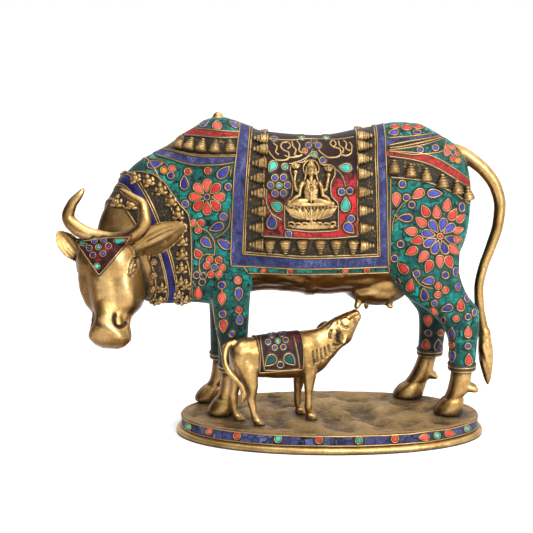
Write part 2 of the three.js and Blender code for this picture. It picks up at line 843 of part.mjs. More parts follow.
// Skin of inlay over the trunk under the cloth
function clothSkin() {
  const from = 4.6;
  const to = 10.3;
  const past = 0.3;
  const outer = trunkPiece(from, to, seatGap + inlayThickness);
  const limbs = legs([nearFrontLeg, farFrontLeg, nearHindLeg, farHindLeg], seatGap);
  return outer.subtract(joinAll([trunkPiece(from - past, to + past, seatGap), ...limbs, udderBag(seatGap)]));
}

// Lapis frame that runs down both flanks and over the back
function clothFrame() {
  const low = clothHemHeight + clothHemWidth;
  const frame = clothOutline(0, low, 400).subtract(clothOutline(clothFrameWidth, low + clothFrameWidth, 401));
  return clothSkin().intersect(frame);
}

// Turquoise hem under the frame, on one flank
function clothHem(far) {
  const strip = clothOutline(1, clothHemHeight, clothHemHeight + clothHemWidth - seatGap);
  const side = prism([[-200, 100], [200, 100], [200, 400], [-200, 400]], far ? 20 : -200, far ? 200 : 20);
  return clothSkin().intersect(strip).intersect(side);
}

// Coral field inside the bells, open at both niches
function clothField() {
  const inset = clothFrameWidth + clothReliefWidth;
  const field = clothOutline(inset, clothHemHeight + clothHemWidth + inset, 400);
  const [x, z] = nicheMiddle;
  const corners = [[-29, -31], [29, -31], [29, 30], [0, 50], [-29, 30]];
  const niche = slab(corners.map(([a, b]) => [x + a * nicheScale, z + b * nicheScale]));
  return clothSkin().intersect(field).subtract(niche);
}

// Turquoise inlay of a quarter: its length of trunk and both legs, kept inside an outline
function quarterInlay(from, to, pair, outline) {
  const legBlock = slab([[-400, legInlayEnd], [400, legInlayEnd], [400, 240], [-400, 240]]);
  const lift = seatGap + inlayThickness;
  const outer = joinAll([
    trunkPiece(from, to, lift),
    ...legs(pair, lift).map((leg) => leg.intersect(legBlock)),
  ]);
  const inner = joinAll([trunkPiece(0, trunkSections.length - 1, seatGap), ...legs(pair, seatGap)]);
  return outer.intersect(slab(outline)).subtract(inner);
}

function foreInlay() {
  const outline = [
    [-240, 40],
    [-84, 40],
    [-84, clothHemHeight - 1],
    [clothFrontHem - 1, clothHemHeight - 1],
    [clothFrontAt(276) - 1, 276],
    [-240, 276],
  ];
  return quarterInlay(9, 12.6, [nearFrontLeg, farFrontLeg], outline);
}

function hindInlay() {
  const outline = [
    [70, 40],
    [200, 40],
    [200, 226],
    [clothBackAt(262) + 1, 262],
    [clothBackHem + 1, clothHemHeight - 1],
    [86, 132],
  ];
  return quarterInlay(0, 5.2, [nearHindLeg, farHindLeg], outline)
    .subtract(joinAll([tail(seatGap), udderBag(seatGap)]));
}

// Lapis band between the two garlands
function neckBand() {
  const high = seatGap + inlayThickness;
  return skinLoop([[13.7, high], [14, high], [14, seatGap], [13.7, seatGap]].map(([at, lift]) => {
    return trunkRing(at, lift);
  }));
}

// Inlaid plate on the brow, a triangle that points down the face
function browPlate() {
  const corners = [[6, -29], [6, 30], [47, 2]];
  const vertices = [-9, 40].flatMap((n) => corners.map(([t, s]) => headPoint(t, s, n)));
  const faces = [[0, 1, 2], [5, 4, 3], [0, 3, 4], [0, 4, 1], [1, 4, 5], [1, 5, 2], [2, 5, 3], [2, 3, 0]];
  return headShape(seatGap + inlayThickness)
    .intersect(makeSolid(vertices, faces))
    .subtract(headShape(seatGap))
    .subtract(horns(seatGap));
}

// Mesh from a solid
function meshFrom(name, solid, material, place) {
  const { vertProperties, triVerts } = solid.getMesh();
  const geometry = new THREE.BufferGeometry();
  geometry.setAttribute('position', new THREE.BufferAttribute(new Float32Array(vertProperties), 3));
  geometry.setIndex(new THREE.BufferAttribute(new Uint32Array(triVerts), 1));
  geometry.translate(place.x, place.y, place.z);
  geometry.computeVertexNormals();
  const mesh = new THREE.Mesh(geometry, material);
  mesh.name = name;
  return mesh;
}

// Ring of the oval plinth at a height, spread out or drawn in from its edge
function ovalRing(spread, z, sides) {
  const ring = [];
  for (let j = 0; j < sides; j += 1) {
    const [out, up] = roundedPoint(2 * Math.PI * j / sides, ovalPower);
    ring.push(new THREE.Vector3((plinthHalfLength + spread) * up, (plinthHalfDepth + spread) * out, z));
  }
  return ring;
}

// Middles of the eight hooves that the ground stays flat under
function hoofSpots() {
  const cow = [nearFrontLeg, farFrontLeg, nearHindLeg, farHindLeg].map((rows) => {
    const [, front, back, my] = rows[rows.length - 1];
    return [(front + back) / 2 * figure, my * figure];
  });
  const calf = [calfNearFrontLeg, calfFarFrontLeg, calfNearHindLeg, calfFarHindLeg].map((rows) => {
    const [, back, front, my] = rows[rows.length - 1];
    const spot = calfPoint((front + back) / 2, my, 0);
    return [spot.x, spot.y];
  });
  return [...cow, ...calf].map(([x, y]) => [x + standing.x, y]);
}

// Depth of the hammered ground at a place, none at the rim and under the hooves
function groundDip(x, y) {
  const wave = Math.sin(x / 11 + Math.cos(y / 13) * 1.6) * Math.cos(y / 9 + Math.sin(x / 17));
  let fade = 1;
  for (const [hx, hy] of hoofSpots()) {
    const away = Math.hypot(x - hx, y - hy) / figure;
    fade = Math.min(fade, Math.max(0, (away - 24) / 14));
  }
  return groundRelief * fade * (0.5 + 0.5 * wave);
}

// Plinth with a spread foot, a groove for the lapis band and hammered ground on top
function plinthSolid() {
  const sides = 28;
  const groove = bandThickness + seatGap;
  const bandTop = plinthHeight - rimHeight;
  const rings = [
    ovalRing(footSpread, 0, sides),
    ovalRing(footSpread, footHeight * 0.55, sides),
    ovalRing(footSpread * 0.45, footHeight, sides),
    ovalRing(-groove, footHeight, sides),
    ovalRing(-groove, bandTop, sides),
    ovalRing(0, bandTop, sides),
    ovalRing(0, plinthHeight - 0.4, sides),
    ovalRing(-1.5, plinthHeight, sides),
  ];
  for (const share of [0.86, 0.68, 0.48, 0.25]) {
    const ring = ovalRing(-1.5, plinthHeight, sides);
    rings.push(ring.map((p) => {
      const x = p.x * share;
      const y = p.y * share;
      return new THREE.Vector3(x, y, plinthHeight - groundDip(x, y));
    }));
  }
  return skinRings(rings);
}

// Band of lapis chips round the side of the plinth
function plinthBand() {
  const sides = 28;
  const low = footHeight + seatGap;
  const high = plinthHeight - rimHeight - seatGap;
  return skinLoop([
    ovalRing(0, low, sides),
    ovalRing(0, high, sides),
    ovalRing(-bandThickness, high, sides),
    ovalRing(-bandThickness, low, sides),
  ]);
}

// Point of the calf in its own shares: forward, to its left, up
function calfPoint(x, y, z) {
  const turn = THREE.MathUtils.degToRad(calfTurn);
  return new THREE.Vector3(x * calfScale, y * calfScale, 0)
    .applyAxisAngle(worldAxes[2], turn)
    .add(new THREE.Vector3(calfPlace.x * figure, calfPlace.y * figure, z * calfScale));
}

function calfTrunk(from, to, lift) {
  const sides = 10;
  const stops = [from];
  for (let i = Math.floor(from) + 1; i < to; i += 1) {
    stops.push(i);
  }
  stops.push(to);
  return skinRings(stops.map((at) => {
    const i = Math.min(Math.floor(at), calfSections.length - 2);
    const next = calfSections[i + 1];
    const [tx, tz, bx, bz, half, power] = calfSections[i].map((v, k) => v + (next[k] - v) * (at - i));
    const height = Math.hypot(tx - bx, tz - bz) / 2;
    const ring = [];
    for (let j = 0; j < sides; j += 1) {
      const [out, up] = roundedPoint(2 * Math.PI * j / sides, power);
      const reach = up * (height + lift) / height / 2;
      ring.push(calfPoint((tx + bx) / 2 + (tx - bx) * reach, -out * (half + lift), (tz + bz) / 2 + (tz - bz) * reach));
    }
    return ring;
  }));
}

function calfLeg(rows) {
  const sides = 6;
  return skinRings(rows.map(([z, back, front, my, half]) => {
    const ring = [];
    for (let j = 0; j < sides; j += 1) {
      const [out, up] = roundedPoint(2 * Math.PI * j / sides, 2.2);
      ring.push(calfPoint((front + back) / 2 + up * (front - back) / 2, my + out * half, z));
    }
    return ring;
  }));
}

function calfEars() {
  return [-1, 1].map((side) => ear(
    calfPoint(63, side * 9, 102),
    calfPoint(53, side * 22, 106),
    calfPoint(1, side * 0.4, 0.2).sub(calfPoint(0, 0, 0)),
    9 * calfScale,
  ));
}

function calfSolid() {
  const tailPoints = calfTailSections.map(([x, z, y]) => calfPoint(x, y, z));
  return joinAll([
    calfTrunk(0, calfSections.length - 1, 0),
    ...[calfNearFrontLeg, calfFarFrontLeg, calfNearHindLeg, calfFarHindLeg].map(calfLeg),
    ...calfEars(),
    sweep(tailPoints, calfTailSections.map(([, , , r]) => r * calfScale), 5),
  ]);
}

// Inlaid cloth on the calf's back
function calfCloth() {
  const lift = 1.2;
  const gap = seatGap / calfScale;
  const low = 57 * calfScale;
  const block = prism([[-200, low], [200, low], [200, 400], [-200, 400]], -200, 200);
  return calfTrunk(3.25, 5.35, gap + lift).subtract(calfTrunk(2.9, 5.7, gap)).intersect(block);
}

const brass = brassMaterial(0xb98a45, 0.35);
const darkBrass = brassMaterial(0x86683a, 0.5);
const turquoise = stoneMaterial(0x1f9a86);
const lapis = stoneMaterial(0x34388a);
const coral = stoneMaterial(0xa03336);

const object = new THREE.Group();
object.name = 'kamdhenu';
object.add(
  meshFrom('plinth', plinthSolid(), darkBrass, restingOnFloor),
  meshFrom('plinth_band', plinthBand(), lapis, restingOnFloor),
  meshFrom('cow', cowSolid(), brass, standing),
  meshFrom('calf', calfSolid(), brass, standing),
  meshFrom('fore_inlay', foreInlay(), turquoise, standing),
  meshFrom('hind_inlay', hindInlay(), turquoise, standing),
  meshFrom('cloth_frame', clothFrame(), lapis, standing),
  meshFrom('cloth_field', clothField(), coral, standing),
  meshFrom('cloth_hem_near', clothHem(false), turquoise, standing),
  meshFrom('cloth_hem_far', clothHem(true), turquoise, standing),
  meshFrom('neck_band', neckBand(), lapis, standing),
  meshFrom('brow_plate', browPlate(), coral, standing),
  meshFrom('calf_cloth', calfCloth(), coral, standing),
);

export default object;
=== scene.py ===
import math
import random

import bmesh
import bpy
import numpy as np
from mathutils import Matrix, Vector, noise
from mathutils.bvhtree import BVHTree


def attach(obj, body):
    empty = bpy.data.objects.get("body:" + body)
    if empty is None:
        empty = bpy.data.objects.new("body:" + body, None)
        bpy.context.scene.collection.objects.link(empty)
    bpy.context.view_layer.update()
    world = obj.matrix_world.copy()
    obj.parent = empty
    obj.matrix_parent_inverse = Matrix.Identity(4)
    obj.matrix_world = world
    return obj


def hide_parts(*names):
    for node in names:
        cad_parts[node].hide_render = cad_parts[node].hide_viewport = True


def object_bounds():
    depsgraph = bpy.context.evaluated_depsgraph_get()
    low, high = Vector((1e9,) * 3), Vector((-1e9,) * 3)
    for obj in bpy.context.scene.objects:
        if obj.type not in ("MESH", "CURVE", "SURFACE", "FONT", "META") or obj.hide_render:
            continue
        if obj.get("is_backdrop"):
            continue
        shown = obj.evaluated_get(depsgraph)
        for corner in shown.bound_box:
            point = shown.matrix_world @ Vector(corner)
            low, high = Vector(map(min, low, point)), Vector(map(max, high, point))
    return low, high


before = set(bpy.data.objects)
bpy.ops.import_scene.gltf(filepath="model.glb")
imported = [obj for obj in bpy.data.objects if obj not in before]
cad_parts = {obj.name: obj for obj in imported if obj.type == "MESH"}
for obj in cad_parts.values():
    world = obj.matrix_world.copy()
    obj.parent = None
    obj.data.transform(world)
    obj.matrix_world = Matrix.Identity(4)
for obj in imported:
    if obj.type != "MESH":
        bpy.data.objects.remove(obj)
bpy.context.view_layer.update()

# Lengths in the tables are millimetres, and heights in them are above the plinth's top
MM = 0.001
STANDING = np.array([1.5, 0.0, 22.3])

# The view: the spot it looks at, how far off, how high in degrees, and its pixels per unit of slope
LOOK_AT = np.array([-70.5, 9.5, 185.3])
LOOK_FROM = 1550.0
LOOK_DOWN = math.radians(10.8)
PIXELS = 533
SPREAD = LOOK_FROM / 1.105
BACK = np.array([0.0, -math.cos(LOOK_DOWN), math.sin(LOOK_DOWN)])
UPWARD = np.array([0.0, math.sin(LOOK_DOWN), math.cos(LOOK_DOWN)])
EYE = LOOK_AT + BACK * LOOK_FROM

# Trunk and neck sections from rump to poll:
# top x, top z, bottom x, bottom z, half width, middle y, turn, fullness
TRUNK = [
    (151.5, 258, 151.5, 222, 17, 24, 0, 2.1),
    (147, 275, 147, 192, 35, 24, 0, 2.1),
    (134, 295, 134, 166, 46, 24, 0, 2.15),
    (117, 306.5, 117, 148, 51, 24, 0, 2.2),
    (95, 317, 95, 138, 54, 24, 0, 2.2),
    (73, 319.5, 73, 134, 56, 24, 0, 2.2),
    (45, 315.5, 45, 133, 58, 23, 0, 2.25),
    (-15, 305, -15, 131, 60, 22, 0, 2.25),
    (-72, 309, -72, 135.5, 57, 22, 0, 2.2),
    (-98, 318, -98, 132, 55.5, 22, 0, 2.15),
    (-125, 326, -118, 122, 53, 21, 3, 2.05),
    (-155, 312, -130, 119, 50, 20, 9, 2.05),
    (-183, 293, -146, 122, 46, 16, 17, 2.1),
    (-208, 280, -163, 124, 41, 9, 26, 2.1),
    (-230, 256, -188, 125, 35, 0, 36, 2.1),
    (-240, 237, -205, 130, 30, -8, 44, 2.1),
    (-245, 218, -222, 156, 25, -15, 52, 2.1),
    (-246, 203, -234, 172, 17, -21, 58, 2.1),
]

# Legs from the body to the sole: height, front x, back x, middle y, half width
NEAR_FORE = [
    (172, -134, -88, 0, 22), (140, -133, -90, -5, 20), (118, -131, -91.5, -7, 18),
    (92, -125.5, -93, -8, 16), (54, -123.5, -97, -8.5, 13), (50, -122, -98.5, -8.5, 11.5),
    (27, -125, -102, -8.5, 12.5), (20, -127, -105, -8.5, 12), (17.5, -130, -104, -8.5, 13.5),
    (1.5, -138, -106.5, -8.5, 15.5), (0, -137, -107, -8.5, 15),
]
FAR_FORE = [
    (172, -140, -96, 44, 22), (140, -139, -98, 47, 20), (118, -137, -101, 48, 18),
    (88, -135.7, -103.5, 47, 15.5), (54, -135.2, -107, 46.5, 13), (49, -133.8, -109, 46.5, 11.5),
    (25, -137, -113.5, 46.5, 12.5), (19, -141, -118, 46.5, 12), (17, -144, -119, 46.5, 13.5),
    (1.5, -155, -124.5, 46.5, 15.5), (0, -154, -125, 46.5, 15),
]
NEAR_HIND = [
    (230, 76, 140, 4, 22), (195, 64, 138.5, -5, 28), (165, 66, 137.5, -8, 28),
    (137, 78, 146, -8, 25.5), (115, 108, 161, -7, 19), (97, 124, 161.5, -6.5, 15.5),
    (80, 129.8, 160, -6, 14), (54, 131, 158, -6, 13.5), (49, 132.5, 156.5, -6, 12),
    (26, 129, 152.5, -6, 13), (19, 126, 147, -6, 12.5), (17, 123.5, 148, -6, 14),
    (1.5, 114, 145.5, -6, 16), (0, 115, 145, -6, 15.5),
]
FAR_HIND = [
    (230, 72, 138, 44, 22), (195, 62, 139, 53, 27), (165, 62, 137, 56, 27),
    (137, 72, 139, 58, 24), (115, 92, 143, 60, 19), (97, 103.5, 138, 61, 16),
    (80, 104.5, 133.5, 61, 14), (54, 103.5, 129.5, 61, 13), (49, 103, 125, 61, 11.5),
    (26, 94, 119.5, 61, 12.5), (16, 86, 113.5, 61, 12.5), (14, 82.5, 113, 61, 13.5),
    (1.5, 74.5, 109, 61, 15.5), (0, 75.5, 108.5, 61, 15),
]
COW_LEGS = (NEAR_FORE, FAR_FORE, NEAR_HIND, FAR_HIND)

# Head: poll, hang in degrees, then along the face, shift, half width, brow side, jaw side, fullness
POLL = np.array([-250.5, -40.0, 204.5])
DROOP, YAW, ROLL = math.radians(74), math.radians(20), math.radians(2)
HEAD = [
    (-7, 0, 15, -12, -36, 2.1), (-1, 0, 26, -3, -50, 2.3), (11, 0, 33, 3, -62, 2.5),
    (26, 0.5, 35.5, 3.5, -70, 2.5), (42, 2, 35.5, 1.5, -75, 2.3), (57, 4, 34, -1.5, -75, 2.25),
    (70, 6, 30, -4, -67, 2.2), (82, 8, 22.5, -4.5, -50, 2.3), (94, 10, 21.5, -2, -42, 2.4),
    (105, 10.5, 21.5, -4.5, -42, 2.4), (113, 11, 17, -10, -37, 2.3), (116.5, 11, 9, -17, -31, 2.1),
]
HORN = [
    (0, 0, 0, -5, 6), (17, 17, -1, -3, 7.2), (34, 34, -6, 2, 7.8), (45, 45, -19, 6, 7),
    (46, 38, -33, 8.5, 5.8), (34.5, 29, -42, 9, 4.4), (22.5, 23, -49.5, 8, 2.4),
    (20.5, 22, -51.5, 7.5, 1.2),
]
TAIL = [
    (118, 292, 24, 9), (138, 288.5, 24, 8.2), (154, 279.5, 24, 7.6), (170, 265.5, 24, 7.3),
    (181, 249, 24, 7), (186, 229, 23, 6.7), (184, 209, 20, 6.3), (176, 183, 17, 5.9),
    (167.5, 160, 13, 5.5), (163.5, 138, 11, 5.4), (165, 115, 10, 5.5), (170, 92, 10, 5.4),
    (172.5, 73, 10, 8.6), (174, 56, 10, 8.2), (175.5, 40, 10, 5.4), (176.5, 27, 10, 1),
]

# Calf: top x, top z, bottom x, bottom z, half width, fullness
CALF = [
    (-53.5, 83, -53.5, 69, 6, 2), (-51, 89, -51, 60, 12, 2), (-44, 93, -44, 53, 15.5, 2.1),
    (-29, 94.5, -29, 51, 17.5, 2.2), (-8, 96, -8, 48, 18, 2.2), (14, 97, 14, 46, 18, 2.2),
    (33, 97.5, 36, 46, 16.5, 2.1), (44, 98.5, 50, 51, 13, 2.1), (53, 101, 62, 63, 11, 2.1),
    (60, 106, 74, 75, 10.5, 2.2), (69, 110.5, 84, 83, 12, 2.3), (78, 113.5, 89.5, 94, 10, 2.2),
    (85.5, 116, 93.5, 102, 7.6, 2.2), (90, 117, 96, 106, 7.4, 2.2), (93.5, 116, 97, 109.5, 4.5, 2),
]
CALF_LEGS = [
    [(62, 22, 43, -8.5, 9), (48, 26, 41, -9, 7.5), (36, 28, 38, -9.5, 5.6), (26, 28.5, 36, -10, 4.6),
     (12, 28.5, 36, -10.5, 4.6), (8, 29.5, 38.5, -10.5, 4.8), (6.5, 29, 40, -10.5, 5.6),
     (0, 29, 44.5, -10.5, 6.2)],
    [(62, 20, 40, 8.5, 9), (48, 22, 36, 9.5, 7.5), (36, 23, 34, 11, 5.6), (26, 23.5, 32, 12, 4.6),
     (12, 24, 32, 12.5, 4.6), (8, 25, 34.5, 12.5, 4.8), (6.5, 25, 36, 12.5, 5.6),
     (0, 25, 40.5, 12.5, 6.2)],
    [(72, -50, -26, -6, 11), (58, -48, -26, -8.5, 9.8), (46, -42.5, -26, -11, 8),
     (36, -39, -28, -12, 6), (29, -38.5, -29, -12, 5), (20, -36, -28.5, -12, 4.4),
     (9, -33.5, -25.5, -12, 4.6), (6.5, -33, -23.5, -12, 5.6), (0, -31, -18, -12, 6.2)],
    [(72, -52, -26, 6, 11), (58, -52, -29, 8.5, 9.8), (46, -51, -34, 11, 8), (36, -50.5, -39, 12, 6),
     (29, -51, -41, 12, 5), (20, -50, -42, 12, 4.4), (9, -48.5, -40.5, 12, 4.6),
     (6.5, -48, -38.5, 12, 5.6), (0, -46.5, -33, 12, 6.2)],
]
CALF_TAIL = [
    (-47, 90, 1, 4), (-54, 89, 0, 3.6), (-60.5, 82, -4, 3.3), (-62.5, 72, -9, 3.2),
    (-59, 62, -13.5, 3.1), (-52, 53, -17.5, 3), (-46.5, 45, -19.5, 3), (-45, 36, -20, 3.8),
    (-46, 27, -19.5, 0.8),
]
CALF_PLACE = np.array([-60.0, -30.5])
CALF_TURN = math.radians(18)
CALF_SCALE = 117.1 / 117

# Plinth: half length, half depth and how square the oval is
OVAL = (165.6, 84.5, 2.1)

# Fineness of the castings, and the share of their triangles that is kept
BODY_GRID = 1.5
BODY_SHARE = 0.34
HEAD_GRID = 0.95
HEAD_SHARE = 0.56
CALF_GRID = 0.75
CALF_SHARE = 0.42
INLAY_SHARE = 0.72

# Heights above the trunk's form: relief grounds, inlaid panels, the cloth's ground and its panels
GROUND_LIFT = 1.0
PANEL_LIFT = 1.5
CLOTH_GROUND_LIFT = 1.25
CLOTH_LIFT = 2.0

WORLD = np.eye(3)
UP = WORLD[2]


def unit(v):
    v = np.asarray(v, float)
    return v / max(np.linalg.norm(v), 1e-9)


def units(rows):
    """Each row scaled to length one."""
    return rows / np.maximum(np.linalg.norm(rows, axis=1), 1e-9)[:, None]


# Curves and skins
def through(keys, rows, wanted):
    """Smooth curve through rows at the wanted keys that never swings past them."""
    x = np.asarray(keys, float)
    y = np.asarray(rows, float)
    h = np.diff(x)[:, None]
    d = np.diff(y, axis=0) / h
    m = np.zeros_like(y)
    m[0], m[-1] = d[0], d[-1]
    if len(x) > 2:
        same = d[:-1] * d[1:] > 0
        w1, w2 = 2 * h[1:] + h[:-1], h[1:] + 2 * h[:-1]
        with np.errstate(divide="ignore", invalid="ignore"):
            mean = (w1 + w2) / (w1 / d[:-1] + w2 / d[1:])
        m[1:-1] = np.where(same, mean, 0)
    wanted = np.atleast_1d(np.asarray(wanted, float))
    i = np.clip(np.searchsorted(x, wanted, side="right") - 1, 0, len(x) - 2)
    t = ((wanted - x[i]) / h[i, 0])[:, None]
    hh = h[i]
    return (
        (2 * t**3 - 3 * t**2 + 1) * y[i]
        + (t**3 - 2 * t**2 + t) * hh * m[i]
        + (-2 * t**3 + 3 * t**2) * y[i + 1]
        + (t**3 - t**2) * hh * m[i + 1]
    )


def lengths_along(points):
    """Distance travelled along a line at each of its points."""
    return np.concatenate([[0], np.cumsum(np.linalg.norm(np.diff(points, axis=0), axis=1))])


def circle(count):
    """Even angles round a full turn."""
    return 2 * np.pi * np.arange(count) / count


def rounded(angle, power):
    """Across and up shares of a rounded square section, fuller as the power grows."""
    c, s = np.cos(angle), np.sin(angle)
    up = np.sign(c) * np.abs(c) ** (2 / power)
    out = np.sign(s) * np.abs(s) ** (2 / power)
    return out, up


class Shape:
    """Vertices and faces gathered from closed skins."""

    def __init__(self):
        self.verts = []
        self.faces = []
        self.count = 0

    def add(self, verts, faces):
        verts = np.asarray(verts, float).reshape(-1, 3)
        self.verts.append(verts)
        self.faces.extend([tuple(k + self.count for k in f) for f in faces])
        self.count += len(verts)
        return self

    def rings(self, rings):
        rings = np.asarray(rings, float)
        n, m = rings.shape[:2]
        faces = []
        for i in range(n - 1):
            for j in range(m):
                k = (j + 1) % m
                faces.append((i * m + j, i * m + k, (i + 1) * m + k, (i + 1) * m + j))
        verts = np.concatenate([rings.reshape(-1, 3), rings[0].mean(0)[None], rings[-1].mean(0)[None]])
        for j in range(m):
            k = (j + 1) % m
            faces.append((n * m, k, j))
            faces.append((n * m + 1, (n - 1) * m + j, (n - 1) * m + k))
        return self.add(verts, faces)

    def loop(self, rings):
        rings = np.asarray(rings, float)
        n, m = rings.shape[:2]
        faces = []
        for i in range(n):
            a, b = i * m, (i + 1) % n * m
            for j in range(m):
                k = (j + 1) % m
                faces.append((a + j, a + k, b + k, b + j))
        return self.add(rings.reshape(-1, 3), faces)

    def mesh(self, name, shift=STANDING):
        mesh = bpy.data.meshes.new(name)
        verts = (np.concatenate(self.verts) + shift) * MM
        mesh.from_pydata(verts.tolist(), [], self.faces)
        mesh.validate()
        outward(mesh)
        return mesh


def outward(mesh):
    bm = bmesh.new()
    bm.from_mesh(mesh)
    bmesh.ops.recalc_face_normals(bm, faces=bm.faces)
    bm.to_mesh(mesh)
    bm.free()


def sweep_rings(points, radii, sides, flat=1.0, start=(0.31, 0.87, 0.38)):
    points = np.asarray(points, float)
    tangents = units(np.gradient(points, axis=0))
    across = unit(np.cross(start, tangents[0]))
    angle = circle(sides)
    rings = []
    for p, t, r in zip(points, tangents, np.broadcast_to(radii, len(points))):
        across = unit(across - across.dot(t) * t)
        other = np.cross(t, across)
        rings.append(p + r * (np.cos(angle)[:, None] * across + flat * np.sin(angle)[:, None] * other))
    return np.array(rings)


def ball(shape, centre, axes, radii, around=16, levels=10):
    axes = np.asarray(axes, float)
    angle = circle(around)
    rings = []
    for i in range(levels + 1):
        rise = math.pi * (0.02 + 0.96 * i / levels)
        ring = (
            np.asarray(centre)
            + radii[0] * math.sin(rise) * np.cos(angle)[:, None] * axes[0]
            + radii[1] * math.sin(rise) * np.sin(angle)[:, None] * axes[1]
            + radii[2] * math.cos(rise) * axes[2]
        )
        rings.append(ring)
    return shape.rings(rings)


# The cow's forms
def section_keys(rows):
    """Way along the middles of sections given by their top and bottom x and z."""
    middles = np.array([[(r[0] + r[2]) / 2, (r[1] + r[3]) / 2] for r in rows])
    return lengths_along(middles)


TRUNK_KEYS = section_keys(TRUNK)


def trunk_row(at):
    key = np.interp(at, np.arange(len(TRUNK)), TRUNK_KEYS)
    return through(TRUNK_KEYS, TRUNK, key)[0]


def trunk_ring(at, lift=0.0, sides=96, angles=None):
    tx, tz, bx, bz, half, my, turn, power = trunk_row(at)
    angle = circle(sides) if angles is None else np.asarray(angles, float)
    out, up = rounded(angle, power)
    rise = np.array([(tx - bx) / 2, 0, (tz - bz) / 2])
    height = np.linalg.norm(rise)
    yaw = math.radians(turn)
    side = np.array([math.sin(yaw), -math.cos(yaw), 0])
    middle = np.array([(tx + bx) / 2, my, (tz + bz) / 2])
    return (
        middle
        + (up * (height + lift) / height)[:, None] * rise
        + (out * (half + lift))[:, None] * side
    )


def leg_rings(rows, lift=0.0, sides=40, step=2.0):
    keys = [-r[0] for r in rows]
    wanted = np.unique(np.concatenate([np.arange(keys[0], keys[-1], step), keys]))
    angle = circle(sides)
    out, up = rounded(angle, 2.2)
    rings = []
    for z, front, back, my, half in through(keys, rows, wanted):
        x = (front + back) / 2 + up * ((back - front) / 2 + lift)
        rings.append(np.stack([x, my + out * (half + lift), np.full(sides, z)], 1))
    return rings


def head_point(t, s, n):
    t, s, n = np.broadcast_arrays(np.asarray(t, float), s, n)
    v = np.stack(
        [s, -t * math.cos(DROOP) - n * math.sin(DROOP), n * math.cos(DROOP) - t * math.sin(DROOP)], -1,
    )
    return v @ HEAD_TURN.T + POLL


def spin_y(a):
    return np.array([[math.cos(a), 0, math.sin(a)], [0, 1, 0], [-math.sin(a), 0, math.cos(a)]])


def spin_z(a):
    return np.array([[math.cos(a), -math.sin(a), 0], [math.sin(a), math.cos(a), 0], [0, 0, 1]])


HEAD_TURN = spin_z(-YAW) @ spin_y(-ROLL)


def head_local(points):
    """Along the face, to her left and out of the brow, for points of the head."""
    v = (np.asarray(points, float) - POLL) @ HEAD_TURN
    t = -v[:, 1] * math.cos(DROOP) - v[:, 2] * math.sin(DROOP)
    n = -v[:, 1] * math.sin(DROOP) + v[:, 2] * math.cos(DROOP)
    return t, v[:, 0], n


def head_rings(sides=72):
    keys = [r[0] for r in HEAD]
    angle = circle(sides)
    rings = []
    wanted = np.unique(np.append(np.arange(-7, 116, 1.8), 116.5))
    for t, shift, half, top, bottom, power in through(keys, HEAD, wanted):
        out, up = rounded(angle, power)
        taper = np.where(up < 0, 1 + 0.12 * up, 1)
        level = (top + bottom) / 2 + up * ((top - bottom) / 2)
        rings.append(head_point(t, shift + out * (half * taper), level))
    return rings


def horn_stops():
    left = [(s, t, n, r) for s, _, t, n, r in HORN]
    right = [(-s, t, n, r) for _, s, t, n, r in HORN[:0:-1]]
    return np.array(right + left, float)


def horn_rings():
    stops = horn_stops()
    keys = lengths_along(stops[:, :3])
    wanted = np.linspace(0, keys[-1], 90)
    rows = through(keys, stops, wanted)
    points = np.array([head_point(t, s + 14 + 0.2 * t, n) for s, t, n, _ in rows])
    radii = rows[:, 3].copy()
    radii[0] = radii[-1] = 0.5
    return sweep_rings(points, radii, 28)


def ear_rings(root, tip, hollow, width, bend):
    root, tip = np.asarray(root), np.asarray(tip)
    long = tip - root
    wide = unit(np.cross(hollow, long))
    face = unit(np.cross(long, wide))
    if face.dot(hollow) < 0:
        face = -face
    spans = [
        (-0.12, 0.4), (0.02, 0.42), (0.14, 0.62), (0.32, 0.95), (0.5, 1.02), (0.68, 0.88), (0.84, 0.56),
        (0.95, 0.26), (1, 0.06),
    ]
    keys = [s[0] for s in spans]
    rings = []
    angle = np.pi * np.arange(21) / 20
    for share in np.linspace(-0.12, 1, 44):
        breadth = through(keys, spans, share)[0][1]
        half = width * breadth / 2
        middle = root + long * share + face * bend * math.sin(math.pi * max(share, 0))
        a = np.cos(angle)
        ribs = 0.035 * np.sin(a * 13) * np.clip(share * 3, 0, 1) * np.clip((1 - share) * 3, 0, 1)
        inner = 0.42 * a**2 - 0.16 + ribs
        outer = 0.42 * a**2 - 0.44 + 0.18 * np.abs(a) ** 3
        inner[0] = inner[-1] = 0.34
        outer[0] = outer[-1] = 0.19
        top = [middle + wide * x * half + face * y * half for x, y in zip(a, inner)]
        under = [middle + wide * x * half + face * y * half for x, y in zip(a[::-1], outer[::-1])]
        rings.append(np.array(top + under))
    return rings


def make_trunk_and_legs(lift=0.0, hoof_step=2.0):
    shape = Shape()
    stops = np.concatenate([np.linspace(0, 2, 26), np.linspace(2.05, 17, 240)])
    shape.rings([trunk_ring(at, lift) for at in stops])
    for rows in COW_LEGS:
        shape.rings(leg_rings(rows, lift, step=hoof_step))
    return shape


# Objects from skins
scene = bpy.context.scene


def link(name, mesh):
    obj = bpy.data.objects.new(name, mesh)
    scene.collection.objects.link(obj)
    return obj


def baked(obj, name):
    """Mesh of an object with its modifiers applied; the object itself goes."""
    graph = bpy.context.evaluated_depsgraph_get()
    mesh = bpy.data.meshes.new_from_object(obj.evaluated_get(graph))
    mesh.name = name
    old = obj.data
    bpy.data.objects.remove(obj)
    if old.users == 0:
        bpy.data.meshes.remove(old)
    return mesh


def add_remesh(obj, voxel):
    remesh = obj.modifiers.new("remesh", "REMESH")
    remesh.mode = "VOXEL"
    remesh.voxel_size = voxel * MM


